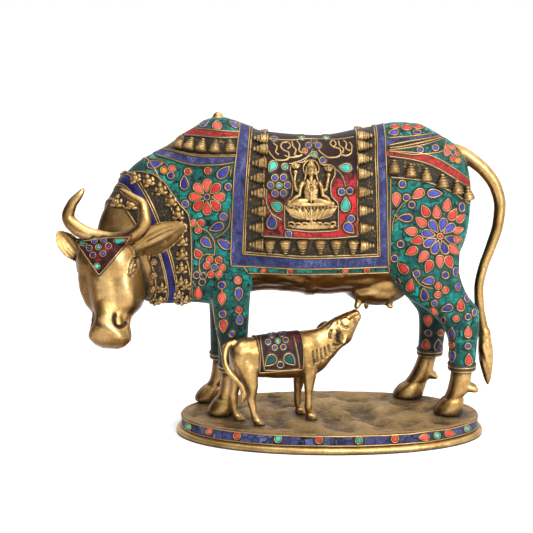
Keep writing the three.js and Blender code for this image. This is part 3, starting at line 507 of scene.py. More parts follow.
def remeshed(name, shape, voxel, smooth=3):
    """One skin round overlapping solids, on a grid of the given size in millimetres."""
    obj = link(name, shape.mesh(name + "_raw"))
    add_remesh(obj, voxel)
    if smooth:
        soft = obj.modifiers.new("smooth", "SMOOTH")
        soft.factor = 0.5
        soft.iterations = smooth
    return baked(obj, name)


def coordinates(mesh):
    co = np.empty(len(mesh.vertices) * 3)
    mesh.vertices.foreach_get("co", co)
    return co.reshape(-1, 3) / MM


def set_coordinates(mesh, co):
    mesh.vertices.foreach_set("co", (np.asarray(co) * MM).ravel())
    mesh.update()


def vertex_normals(mesh):
    n = np.empty(len(mesh.vertices) * 3)
    mesh.vertex_normals.foreach_get("vector", n)
    return n.reshape(-1, 3)


def finish_piece(name, mesh, material, stands_for=(), share=1.0, smooth_angle=None):
    """Puts a mesh in the scene as a piece of the statue."""
    obj = link(name, mesh)
    if share < 1:
        thin = obj.modifiers.new("thin", "DECIMATE")
        thin.ratio = share
        mesh = baked(obj, name)
        obj = link(name, mesh)
    mesh.materials.clear()
    mesh.materials.append(material)
    mesh.polygons.foreach_set("use_smooth", [True] * len(mesh.polygons))
    if smooth_angle:
        mesh.set_sharp_from_angle(angle=math.radians(smooth_angle))
    mesh.update()
    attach(obj, "root")
    if stands_for:
        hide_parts(*stands_for)
    return obj


def laid_piece(name, shape, material, stands_for=(), smooth_angle=None):
    """Piece from a shape that is already in its place in the scene."""
    return finish_piece(name, shape.mesh(name, shift=0), material, stands_for, 1.0, smooth_angle)


class Skin:
    """A mesh to lay things on."""

    def __init__(self, mesh):
        self.verts = coordinates(mesh)
        self.normals = vertex_normals(mesh)
        self.polys = [tuple(p.vertices) for p in mesh.polygons]
        self.tree = BVHTree.FromPolygons([tuple(v) for v in self.verts], self.polys)

    def normal(self, index, point):
        ids = list(self.polys[index])
        weight = 1 / (np.linalg.norm(self.verts[ids] - point, axis=1) + 0.05)
        return unit((self.normals[ids] * weight[:, None]).sum(0))

    def cast(self, origin, direction, reach=4000.0):
        where, _, index, _ = self.tree.ray_cast(Vector(origin), Vector(unit(direction)), reach)
        if where is None:
            return None
        where = np.array(where)
        return where, self.normal(index, where)

    def nearest(self, point):
        where, _, index, _ = self.tree.find_nearest(Vector(point))
        where = np.array(where)
        return where, self.normal(index, where)


def sight(u, v):
    """Direction of the line of sight through a spot of the view."""
    return (u - PIXELS / 2) / SPREAD * WORLD[0] - (v - PIXELS / 2) / SPREAD * UPWARD - BACK


def on_plane(u, v, y):
    """Where the line of sight through a spot of the view meets an upright plane."""
    ray = sight(u, v)
    return EYE + (y - EYE[1]) / ray[1] * ray


def seen(skin, u, v):
    """Where the line of sight through a spot of the view meets the skin, or passes nearest to it."""
    found = skin.cast(EYE, sight(u, v))
    if found is not None:
        return found
    return skin.nearest(on_plane(u, v, 20.0))


def opposite(skin, point):
    """The spot on the far flank at the same length and height."""
    found = skin.cast((point[0], 400.0, point[2]), (0, -1, 0))
    return found if found is not None else skin.nearest((point[0], 70.0, point[2]))


def flank_outline(skin, pixels):
    """Outline in length and height for spots of the view on the near flank."""
    outline = []
    for u, v in pixels:
        found = skin.cast(EYE, sight(u, v))
        point = found[0] if found is not None else on_plane(u, v, 24.0)
        outline.append((point[0], point[2]))
    return outline


# Materials
class Nodes:
    def __init__(self, name):
        self.material = bpy.data.materials.new(name)
        self.material.use_nodes = True
        self.tree = self.material.node_tree
        self.tree.nodes.clear()
        self.out = self.add("ShaderNodeOutputMaterial")
        self.bsdf = self.add("ShaderNodeBsdfPrincipled")
        self.tree.links.new(self.bsdf.outputs[0], self.out.inputs[0])

    def add(self, kind, settings=None, **inputs):
        node = self.tree.nodes.new(kind)
        for key, value in (settings or {}).items():
            setattr(node, key, value)
        for key, value in inputs.items():
            self.put(node, key, value)
        return node

    def put(self, node, key, value):
        """Sets or links an input, named by its words or, after a stroke, by its number."""
        socket = node.inputs[int(key[1:]) if key[0] == "_" else key.replace("_", " ")]
        if isinstance(value, bpy.types.NodeSocket):
            self.tree.links.new(value, socket)
        else:
            socket.default_value = value
        return node

    def coords(self, scale=(1, 1, 1)):
        where = self.add("ShaderNodeTexCoord").outputs["Object"]
        return self.add("ShaderNodeMapping", Vector=where, Scale=scale).outputs[0]

    def noise(self, scale, detail=4, rough=0.55, vector=None, distortion=0.0):
        inputs = dict(Scale=scale, Detail=detail, Roughness=rough, Distortion=distortion)
        if vector is not None:
            inputs["Vector"] = vector
        return self.add("ShaderNodeTexNoise", **inputs).outputs[0]

    def math(self, kind, a, b=0.0, clamp=False):
        return self.add(
            "ShaderNodeMath", {"operation": kind, "use_clamp": clamp}, _0=a, _1=b,
        ).outputs[0]

    def plus(self, a, b):
        return self.math("ADD", a, b)

    def times(self, a, b, clamp=False):
        return self.math("MULTIPLY", a, b, clamp)

    def most(self, a, b):
        return self.math("MAXIMUM", a, b)

    def swing(self, value, size):
        """A cloudy value moved to swing about zero."""
        return self.times(self.math("SUBTRACT", value, 0.5), size)

    def parts(self, output="Object"):
        """Three parts of a spot's place, or of its normal."""
        where = self.add("ShaderNodeTexCoord").outputs[output]
        return self.add("ShaderNodeSeparateXYZ", _0=where).outputs

    def ramp(self, factor, stops):
        node = self.add("ShaderNodeValToRGB", _0=factor)
        node.color_ramp.interpolation = "EASE"
        elements = node.color_ramp.elements
        while len(elements) < len(stops):
            elements.new(0.5)
        for element, (place, colour) in zip(elements, stops):
            element.position = place
            element.color = (*colour, 1) if len(colour) == 3 else colour
        return node.outputs[0]

    def span(self, value, low, high, new_low=0.0, new_high=1.0):
        sockets = dict(_0=value, _1=low, _2=high, _3=new_low, _4=new_high)
        return self.add("ShaderNodeMapRange", {"clamp": True}, **sockets).outputs[0]

    def mix(self, factor, a, b):
        node = self.add("ShaderNodeMix", {"data_type": "RGBA"})
        self.set_socket(node.inputs[0], factor)
        colours = [s for s in node.inputs if s.type == "RGBA"]
        self.set_socket(colours[0], a)
        self.set_socket(colours[1], b)
        return [s for s in node.outputs if s.type == "RGBA"][0]

    def set_socket(self, socket, value):
        if isinstance(value, bpy.types.NodeSocket):
            self.tree.links.new(value, socket)
        elif socket.type == "RGBA":
            socket.default_value = (*value, 1) if len(value) == 3 else value
        else:
            socket.default_value = value

    def bump(self, height, strength, distance, normal=None):
        inputs = dict(Height=height, Strength=strength, Distance=distance)
        if normal is not None:
            inputs["Normal"] = normal
        return self.add("ShaderNodeBump", **inputs).outputs[0]

    def hollow(self, distance, samples=6):
        node = self.add("ShaderNodeAmbientOcclusion", {"samples": samples}, Distance=distance)
        return node.outputs["AO"]

    def set(self, **values):
        for key, value in values.items():
            self.put(self.bsdf, key, value)
        return self.material


BRIGHT = (0.72, 0.48, 0.205)
WARM = (0.50, 0.295, 0.095)
SHADE = (0.12, 0.068, 0.022)
BLACK = (0.009, 0.007, 0.004)


def brass_material(name, patina, depth, grain=0.25, polish=0.27, tint=1.0, side_shade=0.0):
    """Polished cast brass whose hollows hold dark patina, with brown painted shade on faces turned down or
    towards minus x.
    """
    n = Nodes(name)
    where = n.coords()
    cloud = n.noise(38, 5, 0.6, where)
    fine = n.noise(420, 4, 0.65, where)
    pits = n.noise(900, 3, 0.7, where)
    open_sky = n.hollow(depth, 6)
    worn = n.plus(open_sky, n.swing(fine, 0.35))
    worn = n.plus(worn, n.swing(cloud, 0.3))
    clean = n.span(worn, 0.45 * patina, 0.45 * patina + 0.42)
    warm, bright, shade = (tuple(c * tint for c in tone) for tone in (WARM, BRIGHT, SHADE))
    metal = n.mix(n.span(cloud, 0.35, 0.68), warm, bright)
    metal = n.mix(n.span(fine, 0.62, 0.85, 0, 0.22), metal, shade)
    stain = n.mix(n.span(fine, 0.4, 0.7), BLACK, shade)
    # Painted shade: faces turned down or towards minus x are darkened to brown, in patches
    if side_shade:
        turned = n.parts("Normal")
        under = n.most(n.span(turned[2], 0.25, -0.6), n.span(turned[0], -0.05, -0.7, 0, 1))
        blotch = n.span(n.noise(22, 6, 0.65, where), 0.3, 0.7, 0.55, 1.1)
        metal = n.mix(n.times(n.times(under, side_shade), blotch, True), metal, (0.15, 0.07, 0.018))
    n.set(
        Base_Color=n.mix(clean, stain, metal),
        Metallic=n.span(clean, 0.0, 0.6, 0.35, 1.0),
        Roughness=n.plus(n.span(clean, 0.0, 1.0, 0.62, polish), n.swing(fine, 0.2)),
        Normal=n.bump(pits, grain * 0.5, 0.0004, n.bump(n.noise(150, 4, 0.5, where), grain, 0.0011)),
    )
    return n.material


def stippled_material():
    """Rough cast ground: nearly black, with worn gold on its grains."""
    n = Nodes("stippled_brass")
    where = n.coords()
    grains = n.noise(330, 4, 0.6, where)
    cloud = n.noise(70, 4, 0.6, where)
    open_sky = n.hollow(0.0035, 6)
    worn = n.plus(n.times(grains, 0.75), n.times(cloud, 0.3))
    worn = n.math("SUBTRACT", worn, n.span(open_sky, 0.9, 0.4, 0, 0.3))
    n.set(
        Base_Color=n.ramp(
            worn,
            [
                (0.47, (0.010, 0.008, 0.005)), (0.57, (0.04, 0.026, 0.012)),
                (0.66, (0.17, 0.11, 0.045)), (0.78, (0.42, 0.29, 0.12)),
            ],
        ),
        Metallic=n.span(worn, 0.45, 0.62, 0.3, 0.95),
        Roughness=n.span(worn, 0.45, 0.65, 0.6, 0.38),
        Normal=n.bump(n.plus(grains, n.times(cloud, 0.5)), 1.0, 0.0018),
    )
    return n.material


def chips(n, where, scale, crack):
    """Tone of each chip, and how near its edge a spot is, for straight-edged chips."""
    skew = n.add("ShaderNodeVectorMath", {"operation": "ADD"}, _0=where)
    wobble = n.add("ShaderNodeTexNoise", Scale=30.0, Detail=2.0, Vector=where).outputs[1]
    shrink = n.add("ShaderNodeVectorMath", {"operation": "SCALE"}, _0=wobble, Scale=0.006).outputs[0]
    n.tree.links.new(shrink, skew.inputs[1])
    vector = skew.outputs[0]
    first, second = (
        n.add(
            "ShaderNodeTexVoronoi", {"distance": "CHEBYCHEV", "feature": feature}, Vector=vector,
            Scale=scale, Randomness=0.85,
        )
        for feature in ("F1", "F2")
    )
    gap = n.math("SUBTRACT", second.outputs[0], first.outputs[0])
    edge = n.span(gap, crack * 0.35, crack, 1, 0)
    broken = n.add("ShaderNodeTexNoise", Scale=70.0, Detail=3.0, Vector=where).outputs[0]
    edge = n.times(edge, n.span(broken, 0.36, 0.56, 0.15, 1))
    tone = n.add("ShaderNodeSeparateColor", _0=first.outputs[1]).outputs[0]
    return tone, edge


def mosaic_material(name, colours, scale, dirt=0.5, crack=0.075, rough=0.34, streak=0.0, veil=None):
    """Stone chips set in black mastic that also smears over them."""
    n = Nodes(name)
    where = n.coords()
    tone, edge = chips(n, where, scale, crack)
    cloud = n.noise(85, 5, 0.65, where)
    fine = n.noise(500, 4, 0.6, where)
    shade = n.plus(n.times(tone, 0.5), n.times(cloud, 0.6))
    stone = n.ramp(shade, [(0.12, colours[0]), (0.5, colours[1]), (0.88, colours[2])])
    if streak:
        veins = n.noise(60, 6, 0.7, n.coords((1, 1, 0.35)), 1.5)
        stone = n.mix(n.span(veins, 0.5, 0.75, 0, streak), stone, colours[2])
    open_sky = n.hollow(0.0028, 6)
    smear = n.span(
        n.plus(n.noise(42, 6, 0.7, where), n.times(fine, 0.3)), 0.98 - dirt * 0.5, 1.08 - dirt * 0.4, 0,
        0.8,
    )
    grime = n.most(n.most(edge, smear), n.span(open_sky, 0.25, 0.78, 0.95, 0))
    if veil:
        grime = n.most(grime, veil(n))
    n.set(
        Base_Color=n.mix(grime, stone, (0.008, 0.008, 0.007)),
        Roughness=n.span(fine, 0.3, 0.7, rough, rough + 0.22),
        Normal=n.bump(n.math("SUBTRACT", n.times(fine, 0.25), edge), 0.55, 0.0005),
        Specular_IOR_Level=0.1,
    )
    return n.material


def stone_material(name, dark, light, rough=0.2):
    """One polished stone, its tone its own, dull and grimy where it meets the wire."""
    n = Nodes(name)
    where = n.coords()
    tone = n.add("ShaderNodeAttribute", {"attribute_name": "tone"}).outputs[2]
    cloud = n.noise(220, 4, 0.6, where)
    mixed = n.plus(n.times(tone, 0.7), n.times(cloud, 0.45))
    stone = n.ramp(mixed, [(0.1, dark), (0.85, light)])
    open_sky = n.hollow(0.0016, 6)
    grime = n.span(open_sky, 0.2, 0.62, 0.85, 0)
    n.set(
        Base_Color=n.mix(grime, stone, (0.01, 0.008, 0.008)),
        Roughness=n.span(cloud, 0.3, 0.7, rough, rough + 0.22),
        Normal=n.bump(n.noise(700, 3, 0.5, where), 0.25, 0.0004),
        Specular_IOR_Level=0.2,
    )
    return n.material


def mastic_material():
    n = Nodes("mastic")
    where = n.coords()
    fine = n.noise(600, 4, 0.6, where)
    n.set(
        Base_Color=n.ramp(fine, [(0.3, (0.006, 0.006, 0.005)), (0.8, (0.03, 0.026, 0.02))]),
        Roughness=n.span(fine, 0.3, 0.7, 0.4, 0.65),
        Normal=n.bump(fine, 0.6, 0.0006),
    )
    return n.material


def ground_material():
    """Beaten brass ground: gold on the mounds, brown and black in the hollows from patina and painted shade,
    brushed and stippled.
    """
    n = Nodes("ground_brass")
    where = n.coords()
    cloud = n.noise(30, 6, 0.65, where)
    fine = n.noise(260, 6, 0.72, where)
    brushed = n.noise(210, 4, 0.65, n.coords((0.3, 1.7, 1)), 0.7)
    parts = n.parts()
    open_sky = n.hollow(0.016, 8)
    rubbed_and_shade = n.plus(n.times(cloud, 0.5), n.times(n.plus(fine, brushed), 0.32))
    # Painted shade: darker where nearby surfaces close in, in the hollows and round the feet
    rubbed_and_shade = n.plus(rubbed_and_shade, n.span(open_sky, 0.55, 0.98, -0.24, 0.04))
    # Patina and painted shade: the lower the ground lies, the darker it is
    rubbed_and_shade = n.plus(rubbed_and_shade, n.span(parts[2], 0.0162, 0.0226, -0.11, 0.04))
    n.set(
        Base_Color=n.ramp(
            rubbed_and_shade,
            [
                (0.27, (0.018, 0.012, 0.008)), (0.45, (0.11, 0.067, 0.030)), (0.63, (0.35, 0.22, 0.09)),
                (0.82, (0.55, 0.375, 0.165)),
            ],
        ),
        Metallic=n.span(rubbed_and_shade, 0.35, 0.65, 0.4, 0.9),
        Roughness=n.span(fine, 0.3, 0.75, 0.58, 0.36),
        Normal=n.bump(n.plus(fine, brushed), 1.0, 0.003),
    )
    return n.material


def powder_material(name, colours, dirt=0.4):
    """Ground stone set in resin: cloudy, streaked and smeared with dark dust."""
    n = Nodes(name)
    where = n.coords()
    cloud = n.noise(46, 6, 0.68, where, 0.6)
    streak = n.noise(120, 5, 0.7, n.coords((1, 1, 0.28)), 1.2)
    fine = n.noise(650, 4, 0.65, where)
    shade = n.plus(n.times(cloud, 0.6), n.times(streak, 0.4))
    shade = n.plus(shade, n.swing(fine, 0.35))
    stone = n.ramp(shade, [(0.38, colours[0]), (0.5, colours[1]), (0.64, colours[2])])
    open_sky = n.hollow(0.003, 6)
    dust = n.most(
        n.span(n.noise(60, 6, 0.75, where), 0.66 - 0.12 * dirt, 0.8, 0, 0.75),
        n.span(open_sky, 0.3, 0.8, 0.9, 0),
    )
    n.set(
        Base_Color=n.mix(dust, stone, (0.009, 0.008, 0.01)),
        Roughness=n.span(fine, 0.3, 0.7, 0.4, 0.6),
        Normal=n.bump(n.plus(fine, n.times(cloud, 1.5)), 0.5, 0.0007),
        Specular_IOR_Level=0.1,
    )
    return n.material


def field_veil(n):
    """Mastic that hides most of the coral high on the saddle cloth and towards its front."""
    parts = n.parts()
    high = n.span(parts[2], 0.262, 0.305, 0, 1.15)
    forward = n.span(parts[0], 0.006, -0.062)
    cover = n.plus(n.times(high, 0.6), n.times(forward, 0.42))
    patchy = n.plus(cover, n.swing(n.noise(34, 5, 0.7, n.coords()), 1.5))
    return n.span(patchy, 0.26, 0.46, 0, 0.97)


def low_leg_darkening(n):
    """Darker low on the legs, most towards the front and on the far side."""
    parts = n.parts()
    low = n.span(parts[2], 0.168, 0.10)
    forward = n.span(parts[0], 0.06, -0.08, 0.3, 1)
    far = n.span(parts[1], 0.01, 0.03, 0, 0.8)
    share = n.times(low, n.most(forward, far))
    patchy = n.plus(share, n.swing(n.noise(48, 5, 0.7, n.coords()), 1.3))
    return n.span(patchy, 0.36, 0.62, 0, 0.92)


def cloth_veil(n):
    """Mastic smeared in patches over the maroon chips."""
    patchy = n.noise(75, 5, 0.7, n.coords())
    return n.span(patchy, 0.37, 0.54, 0.2, 0.94)


# POLISHED and CALF_BRASS get brown painted shade on faces turned down or towards minus x
POLISHED = brass_material("polished_brass", 1.4, 0.009, grain=0.12, polish=0.3, side_shade=1.3)
CARVED = brass_material("carved_brass", 1.65, 0.003, grain=0.3, polish=0.3, tint=1.05)
CALF_BRASS = brass_material("calf_brass", 1.42, 0.0075, grain=0.2, polish=0.3, side_shade=0.95)
DARK_BRASS = stippled_material()
WIRE = brass_material("inlay_wire", 0.9, 0.0012, grain=0.2, polish=0.34, tint=0.72)
GROUND = ground_material()
FOOT = brass_material("foot_brass", 1.2, 0.006, grain=0.6, polish=0.34, tint=0.82)
MASTIC = mastic_material()
TURQUOISE = mosaic_material(
    "turquoise_chips", [(0.003, 0.045, 0.04), (0.005, 0.172, 0.142), (0.02, 0.345, 0.292)], 112, 0.9,
    0.15, 0.34, 0.0, low_leg_darkening,
)
FIELD = mosaic_material(
    "field_chips", [(0.17, 0.010, 0.016), (0.40, 0.018, 0.024), (0.66, 0.032, 0.034)], 118, 0.5, 0.08,
    0.34, 0.0, field_veil,
)
MAROON = mosaic_material(
    "maroon_chips", [(0.05, 0.008, 0.011), (0.11, 0.011, 0.015), (0.26, 0.024, 0.03)], 135, 0.7, 0.09,
    0.36, 0.0, cloth_veil,
)
RED_BAND = mosaic_material(
    "coral_grit", [(0.15, 0.012, 0.012), (0.30, 0.020, 0.018), (0.42, 0.04, 0.035)], 520, 0.4, 0.12,
    0.42,
)
LAPIS = powder_material(
    "lapis_powder", [(0.011, 0.012, 0.042), (0.031, 0.034, 0.108), (0.10, 0.112, 0.222)], 0.75,
)
LAPIS_DARK = powder_material(
    "lapis_dark", [(0.006, 0.006, 0.04), (0.014, 0.015, 0.09), (0.035, 0.038, 0.15)], 0.8,
)
LAPIS_CHIPS = mosaic_material(
    "lapis_chips", [(0.02, 0.022, 0.06), (0.045, 0.05, 0.14), (0.12, 0.135, 0.27)], 100, 0.74, 0.11,
    0.38, 0.5,
)
GEM = {
    "coral": stone_material("coral_stone", (0.34, 0.014, 0.014), (0.80, 0.085, 0.065)),
    "lapis": stone_material("lapis_stone", (0.010, 0.010, 0.09), (0.05, 0.055, 0.30)),
    "turquoise": stone_material("turquoise_stone", (0.008, 0.19, 0.155), (0.06, 0.50, 0.40)),
    "orange": stone_material("orange_stone", (0.50, 0.09, 0.010), (0.78, 0.20, 0.02)),
    "pond": stone_material("dark_turquoise_stone", (0.003, 0.03, 0.027), (0.015, 0.15, 0.125)),
    "ink": stone_material("dark_stone", (0.003, 0.004, 0.02), (0.018, 0.022, 0.08)),
}


# Tubes, ropes, stones and wires laid on a skin
def near_path(skin, pixels, step=1.2):
    """Spots on the near flank along a line drawn in the view, with their normals."""
    pixels = np.asarray(pixels, float)
    keys = lengths_along(pixels)
    count = max(int(keys[-1] / step), 2) + 1
    if len(pixels) > 2:
        spots = through(keys, pixels, np.linspace(0, keys[-1], count))
    else:
        spots = pixels[0] + (pixels[1] - pixels[0]) * np.linspace(0, 1, count)[:, None]
    path = []
    for u, v in spots:
        found = skin.cast(EYE, sight(u, v))
        if found is not None:
            path.append(found)
    return path


def parted(path):
    """Spots and normals of a path, apart."""
    return np.array([p for p, _ in path]), np.array([n for _, n in path])


def raised(path, lift):
    return [p + lift * n for p, n in path]


def closed(ring):
    """A ring run on past its start."""
    return np.concatenate([ring, ring[:2]])


def far_path(skin, path):
    return [opposite(skin, point) for point, _ in path]


def tube(shape, points, radius, sides=6, twist=None):
    """Tube along a path; a twist in radians per millimetre makes it a two-strand rope."""
    points = np.asarray(points, float)
    if len(points) < 2:
        return
    rings = sweep_rings(points, radius, sides)
    if twist:
        gone = lengths_along(points)
        angle = circle(sides)
        swell = 1 + 0.2 * np.cos(2 * (angle[None, :] - twist * gone[:, None]))
        rings = points[:, None, :] + (rings - points[:, None, :]) * swell[:, :, None]
    shape.rings(rings)


def resampled(points, step):
    points = np.asarray(points, float)
    keys = lengths_along(points)
    wanted = np.linspace(0, keys[-1], max(int(keys[-1] / step), 2) + 1)
    return np.stack([np.interp(wanted, keys, points[:, c]) for c in range(3)], 1)


# Mastic that banks against the wires, and its section as offset and rise
BEDS = Shape()
BED_SECTION = np.array([(-1.9, -0.8), (-1.66, 0.02), (-0.7, 0.3), (0.7, 0.3), (1.66, 0.02), (1.9, -0.8)])


def lay_bed(path, size=1.0):
    """Low bank of mastic under a wire."""
    path = path[:-1:2] + path[-1:]
    if len(path) < 2:
        return
    points, normals = parted(path)
    side = units(np.cross(np.gradient(points, axis=0), normals))
    across = size * BED_SECTION[:, 0][None, :, None]
    up = size * BED_SECTION[:, 1][None, :, None]
    BEDS.rings(points[:, None, :] + across * side[:, None, :] + up * normals[:, None, :])


def lay_wire(shape, path, radius=0.6, lift=0.35, sides=5):
    """Wire on a skin, in a low bed of mastic."""
    if len(path) > 1:
        tube(shape, raised(path, lift), radius, sides)
        lay_bed(path)


def wire_line(shape, skin, pixels, radius=0.6, lift=0.35, both=True):
    path = near_path(skin, pixels)
    lay_wire(shape, path, radius, lift)
    if both:
        lay_wire(shape, far_path(skin, path), radius, lift)


def stone_outline(kind, long, wide, turn, around):
    """Outline in the view of a round, an oval or a drop-shaped stone."""
    angle = circle(around)
    if kind == "C":
        flat = np.stack([np.cos(angle), np.sin(angle)], 1) * long
    elif kind == "O":
        flat = np.stack([np.cos(angle) * long / 2, np.sin(angle) * wide / 2], 1)
    else:
        bulge = np.sin(angle) * np.sin(angle / 2) * wide / 2 / 0.77
        flat = np.stack([np.cos(angle) * long / 2, bulge], 1)
    c, s = math.cos(math.radians(turn)), math.sin(math.radians(turn))
    return np.stack([flat[:, 0] * c - flat[:, 1] * s, -flat[:, 0] * s - flat[:, 1] * c], 1)


def reined(skin, spot, middle, reach):
    """The spot itself, or one on the skin within reach of the middle."""
    away = spot[0] - middle[0]
    far = np.linalg.norm(away)
    return spot if far <= reach else skin.nearest(middle[0] + away * (reach / far))


# Dome of a stone as shares of its outline and height, and the wire round it
DOME = ((0.86, 0.62), (0.62, 0.88), (0.28, 0.99))
WIRE_GAP = 0.45
WIRE_RADIUS = 0.6
WIRE_LIFT = 0.35


class Gems:
    """Domed stones with their wires and mastic, gathered by colour."""

    def __init__(self, chance):
        self.stones = {key: Shape() for key in GEM}
        self.tones = {key: [] for key in GEM}
        self.wires = Shape()
        self.seats = Shape()
        self.chance = chance

    def dome(self, colour, edge, middle, high):
        """Closed domed stone on a ring of spots with their normals."""
        base, normals = parted(edge)
        centre, normal = middle
        length = np.linalg.norm(base - centre, axis=1)
        base = centre + (base - centre) * np.clip(1 - 0.6 / np.maximum(length, 0.5), 0.35, 1)[:, None]
        rings = [base - 0.8 * normals, base + 0.3 * high * normals]
        for share, rise in DOME:
            leaning = share * normals + (1 - share) * normal
            rings.append(centre + (base - centre) * share + rise * high * leaning)
        self.stones[colour].rings(rings)
        tone = self.chance.random()
        self.tones[colour].extend([tone] * (len(rings) * len(base) + 2))

    def ring(self, edge, middle):
        """Wire round a stone and the skirt of mastic outside it."""
        base, normals = parted(edge)
        centre = middle[0]
        out = base - centre
        length = np.linalg.norm(out, axis=1)
        path = centre + out * (1 + WIRE_GAP / np.maximum(length, 0.5))[:, None] + WIRE_LIFT * normals
        tangent = units(np.roll(path, -1, 0) - np.roll(path, 1, 0))
        side = units(np.cross(tangent, normals))
        c, s = np.cos(circle(5))[None, :, None], np.sin(circle(5))[None, :, None]
        self.wires.loop(path[:, None, :] + WIRE_RADIUS * (c * side[:, None, :] + s * normals[:, None, :]))
        skirt = centre + out * (1 + (WIRE_GAP + 2.5) / np.maximum(length, 0.5))[:, None]
        self.seats.rings([skirt - 0.9 * normals, skirt + 0.12 * normals, path + (0.26 - WIRE_LIFT) * normals])

    def put(self, colour, edge, middle, high):
        self.dome(colour, edge, middle, high)
        self.ring(edge, middle)

    def lay(self, skin, colour, kind, u, v, long, wide, turn, both, high):
        """A stone whose outline is drawn in the view, and its match on the far flank."""
        outline = stone_outline(kind, long, wide, turn, 14 if kind == "C" else 22)
        middle = seen(skin, u, v)
        edge = [seen(skin, u + du, v + dv) for du, dv in outline]
        reach = 1.7 * (long if kind == "C" else max(long, wide) / 2)
        edge = [reined(skin, e, middle, reach) for e in edge]
        self.put(colour, edge, middle, high)
        if both:
            far_middle = opposite(skin, middle[0])
            far_edge = [opposite(skin, p) for p, _ in edge]
            far_edge = [reined(skin, e, far_middle, reach) for e in far_edge]
            self.put(colour, far_edge, far_middle, high)

    def build(self, name):
        for colour, shape in self.stones.items():
            if not shape.count:
                continue
            mesh = shape.mesh(name + "_" + colour, shift=0)
            tones = mesh.attributes.new("tone", "FLOAT", "POINT")
            values = np.array(self.tones[colour][:len(mesh.vertices)], np.float32)
            tones.data.foreach_set("value", values)
            finish_piece(name + "_" + colour, mesh, GEM[colour])
        laid_piece(name + "_wires", self.wires, WIRE)
        laid_piece(name + "_seats", self.seats, MASTIC)


FLUTES = 8
FLUTE_DEPTH = 0.1


def spin_profile(shape, axes, profile, sides):
    """Turned part on an origin, its axis and two across it; some of its rows are fluted."""
    origin, axis, a1, a2 = axes
    angle = circle(sides)
    spokes = np.cos(angle)[:, None] * a1 + np.sin(angle)[:, None] * a2
    rings = []
    for along, radius, fluted in profile:
        r = radius * (1 + (FLUTE_DEPTH * np.cos(FLUTES * angle) if fluted else 0))
        r = np.broadcast_to(r, sides)
        rings.append(origin + axis * along + r[:, None] * spokes)
    shape.rings(rings)


BELL = [
    (0.0, 0.05, 0), (0.01, 0.36, 0), (0.06, 0.40, 0), (0.07, 0.50, 0), (0.13, 0.50, 0), (0.16, 0.43, 1),
    (0.24, 0.44, 1), (0.34, 0.42, 1), (0.43, 0.36, 1), (0.46, 0.40, 0), (0.51, 0.40, 0),
    (0.54, 0.30, 1), (0.62, 0.28, 1), (0.66, 0.24, 0), (0.68, 0.29, 0), (0.73, 0.28, 0),
    (0.76, 0.16, 0), (0.82, 0.13, 0), (0.86, 0.19, 0), (0.92, 0.19, 0), (0.97, 0.11, 0), (1.0, 0.03, 0),
]
BELL_SUNK = 0.32


def bell(shape, spot, up, long, wide):
    """Small cast bell lying half sunk in a skin, mouth at the bottom and knob at the top."""
    point, normal = spot
    axis = unit(up - normal * np.dot(up, normal))
    across = np.cross(axis, normal)
    origin = point - axis * long * 0.5 + normal * wide * BELL_SUNK * 0.55
    profile = [(a * long, r * wide, f) for a, r, f in BELL]
    spin_profile(shape, (origin, axis, across, normal), profile, 16)


def cut_by(work, blocks, name):
    """Mesh of an object cut by blocks, each with its operation; object and blocks go."""
    for operation, block in blocks:
        step = work.modifiers.new("cut", "BOOLEAN")
        step.operation = operation
        step.object = block
        step.solver = "MANIFOLD"
    mesh = baked(work, name)
    for _, block in blocks:
        old = block.data
        bpy.data.objects.remove(block)
        bpy.data.meshes.remove(old)
    return mesh


def panel(name, outer, inner, outlines, cuts=(), material=None, stands_for=(), share=1.0):
    """Sheet of a skin inside outlines drawn in length and height, less some others."""
    work = link(name, outer.copy())
    core = link(name + "_core", inner.copy())
    blocks = [("DIFFERENCE", core)]
    for outline in outlines:
        blocks.append(("INTERSECT", link(name + "_block", prism(outline, 110))))
    for outline in cuts:
        blocks.append(("DIFFERENCE", link(name + "_cut", prism(outline, 140))))
    mesh = cut_by(work, blocks, name)
    return finish_piece(name, mesh, material, stands_for, share, smooth_angle=40)


def block_between(near, far):
    """Closed block between two matching outlines of spots."""
    n = len(near)
    mesh = bpy.data.meshes.new("block")
    faces = [tuple(range(n)), tuple(range(2 * n - 1, n - 1, -1))]
    faces += [(i, n + i, n + (i + 1) % n, (i + 1) % n) for i in range(n)]
    mesh.from_pydata((np.concatenate([near, far]) * MM).tolist(), [], faces)
    outward(mesh)
    return mesh


def prism(outline, reach):
    """Closed block over an outline in length and height, reaching as far to both sides."""
    outline = np.asarray(outline, float)
    x, z = outline.T
    area = 0.5 * np.sum(x * np.roll(z, -1) - np.roll(x, -1) * z)
    if area < 0:
        outline = outline[::-1]
    near, far = (np.insert(outline, 1, y, axis=1) for y in (-reach, reach))
    mesh = block_between(near, far)
    bm = bmesh.new()
    bm.from_mesh(mesh)
    bmesh.ops.triangulate(bm, faces=bm.faces)
    bm.to_mesh(mesh)
    bm.free()
    return mesh


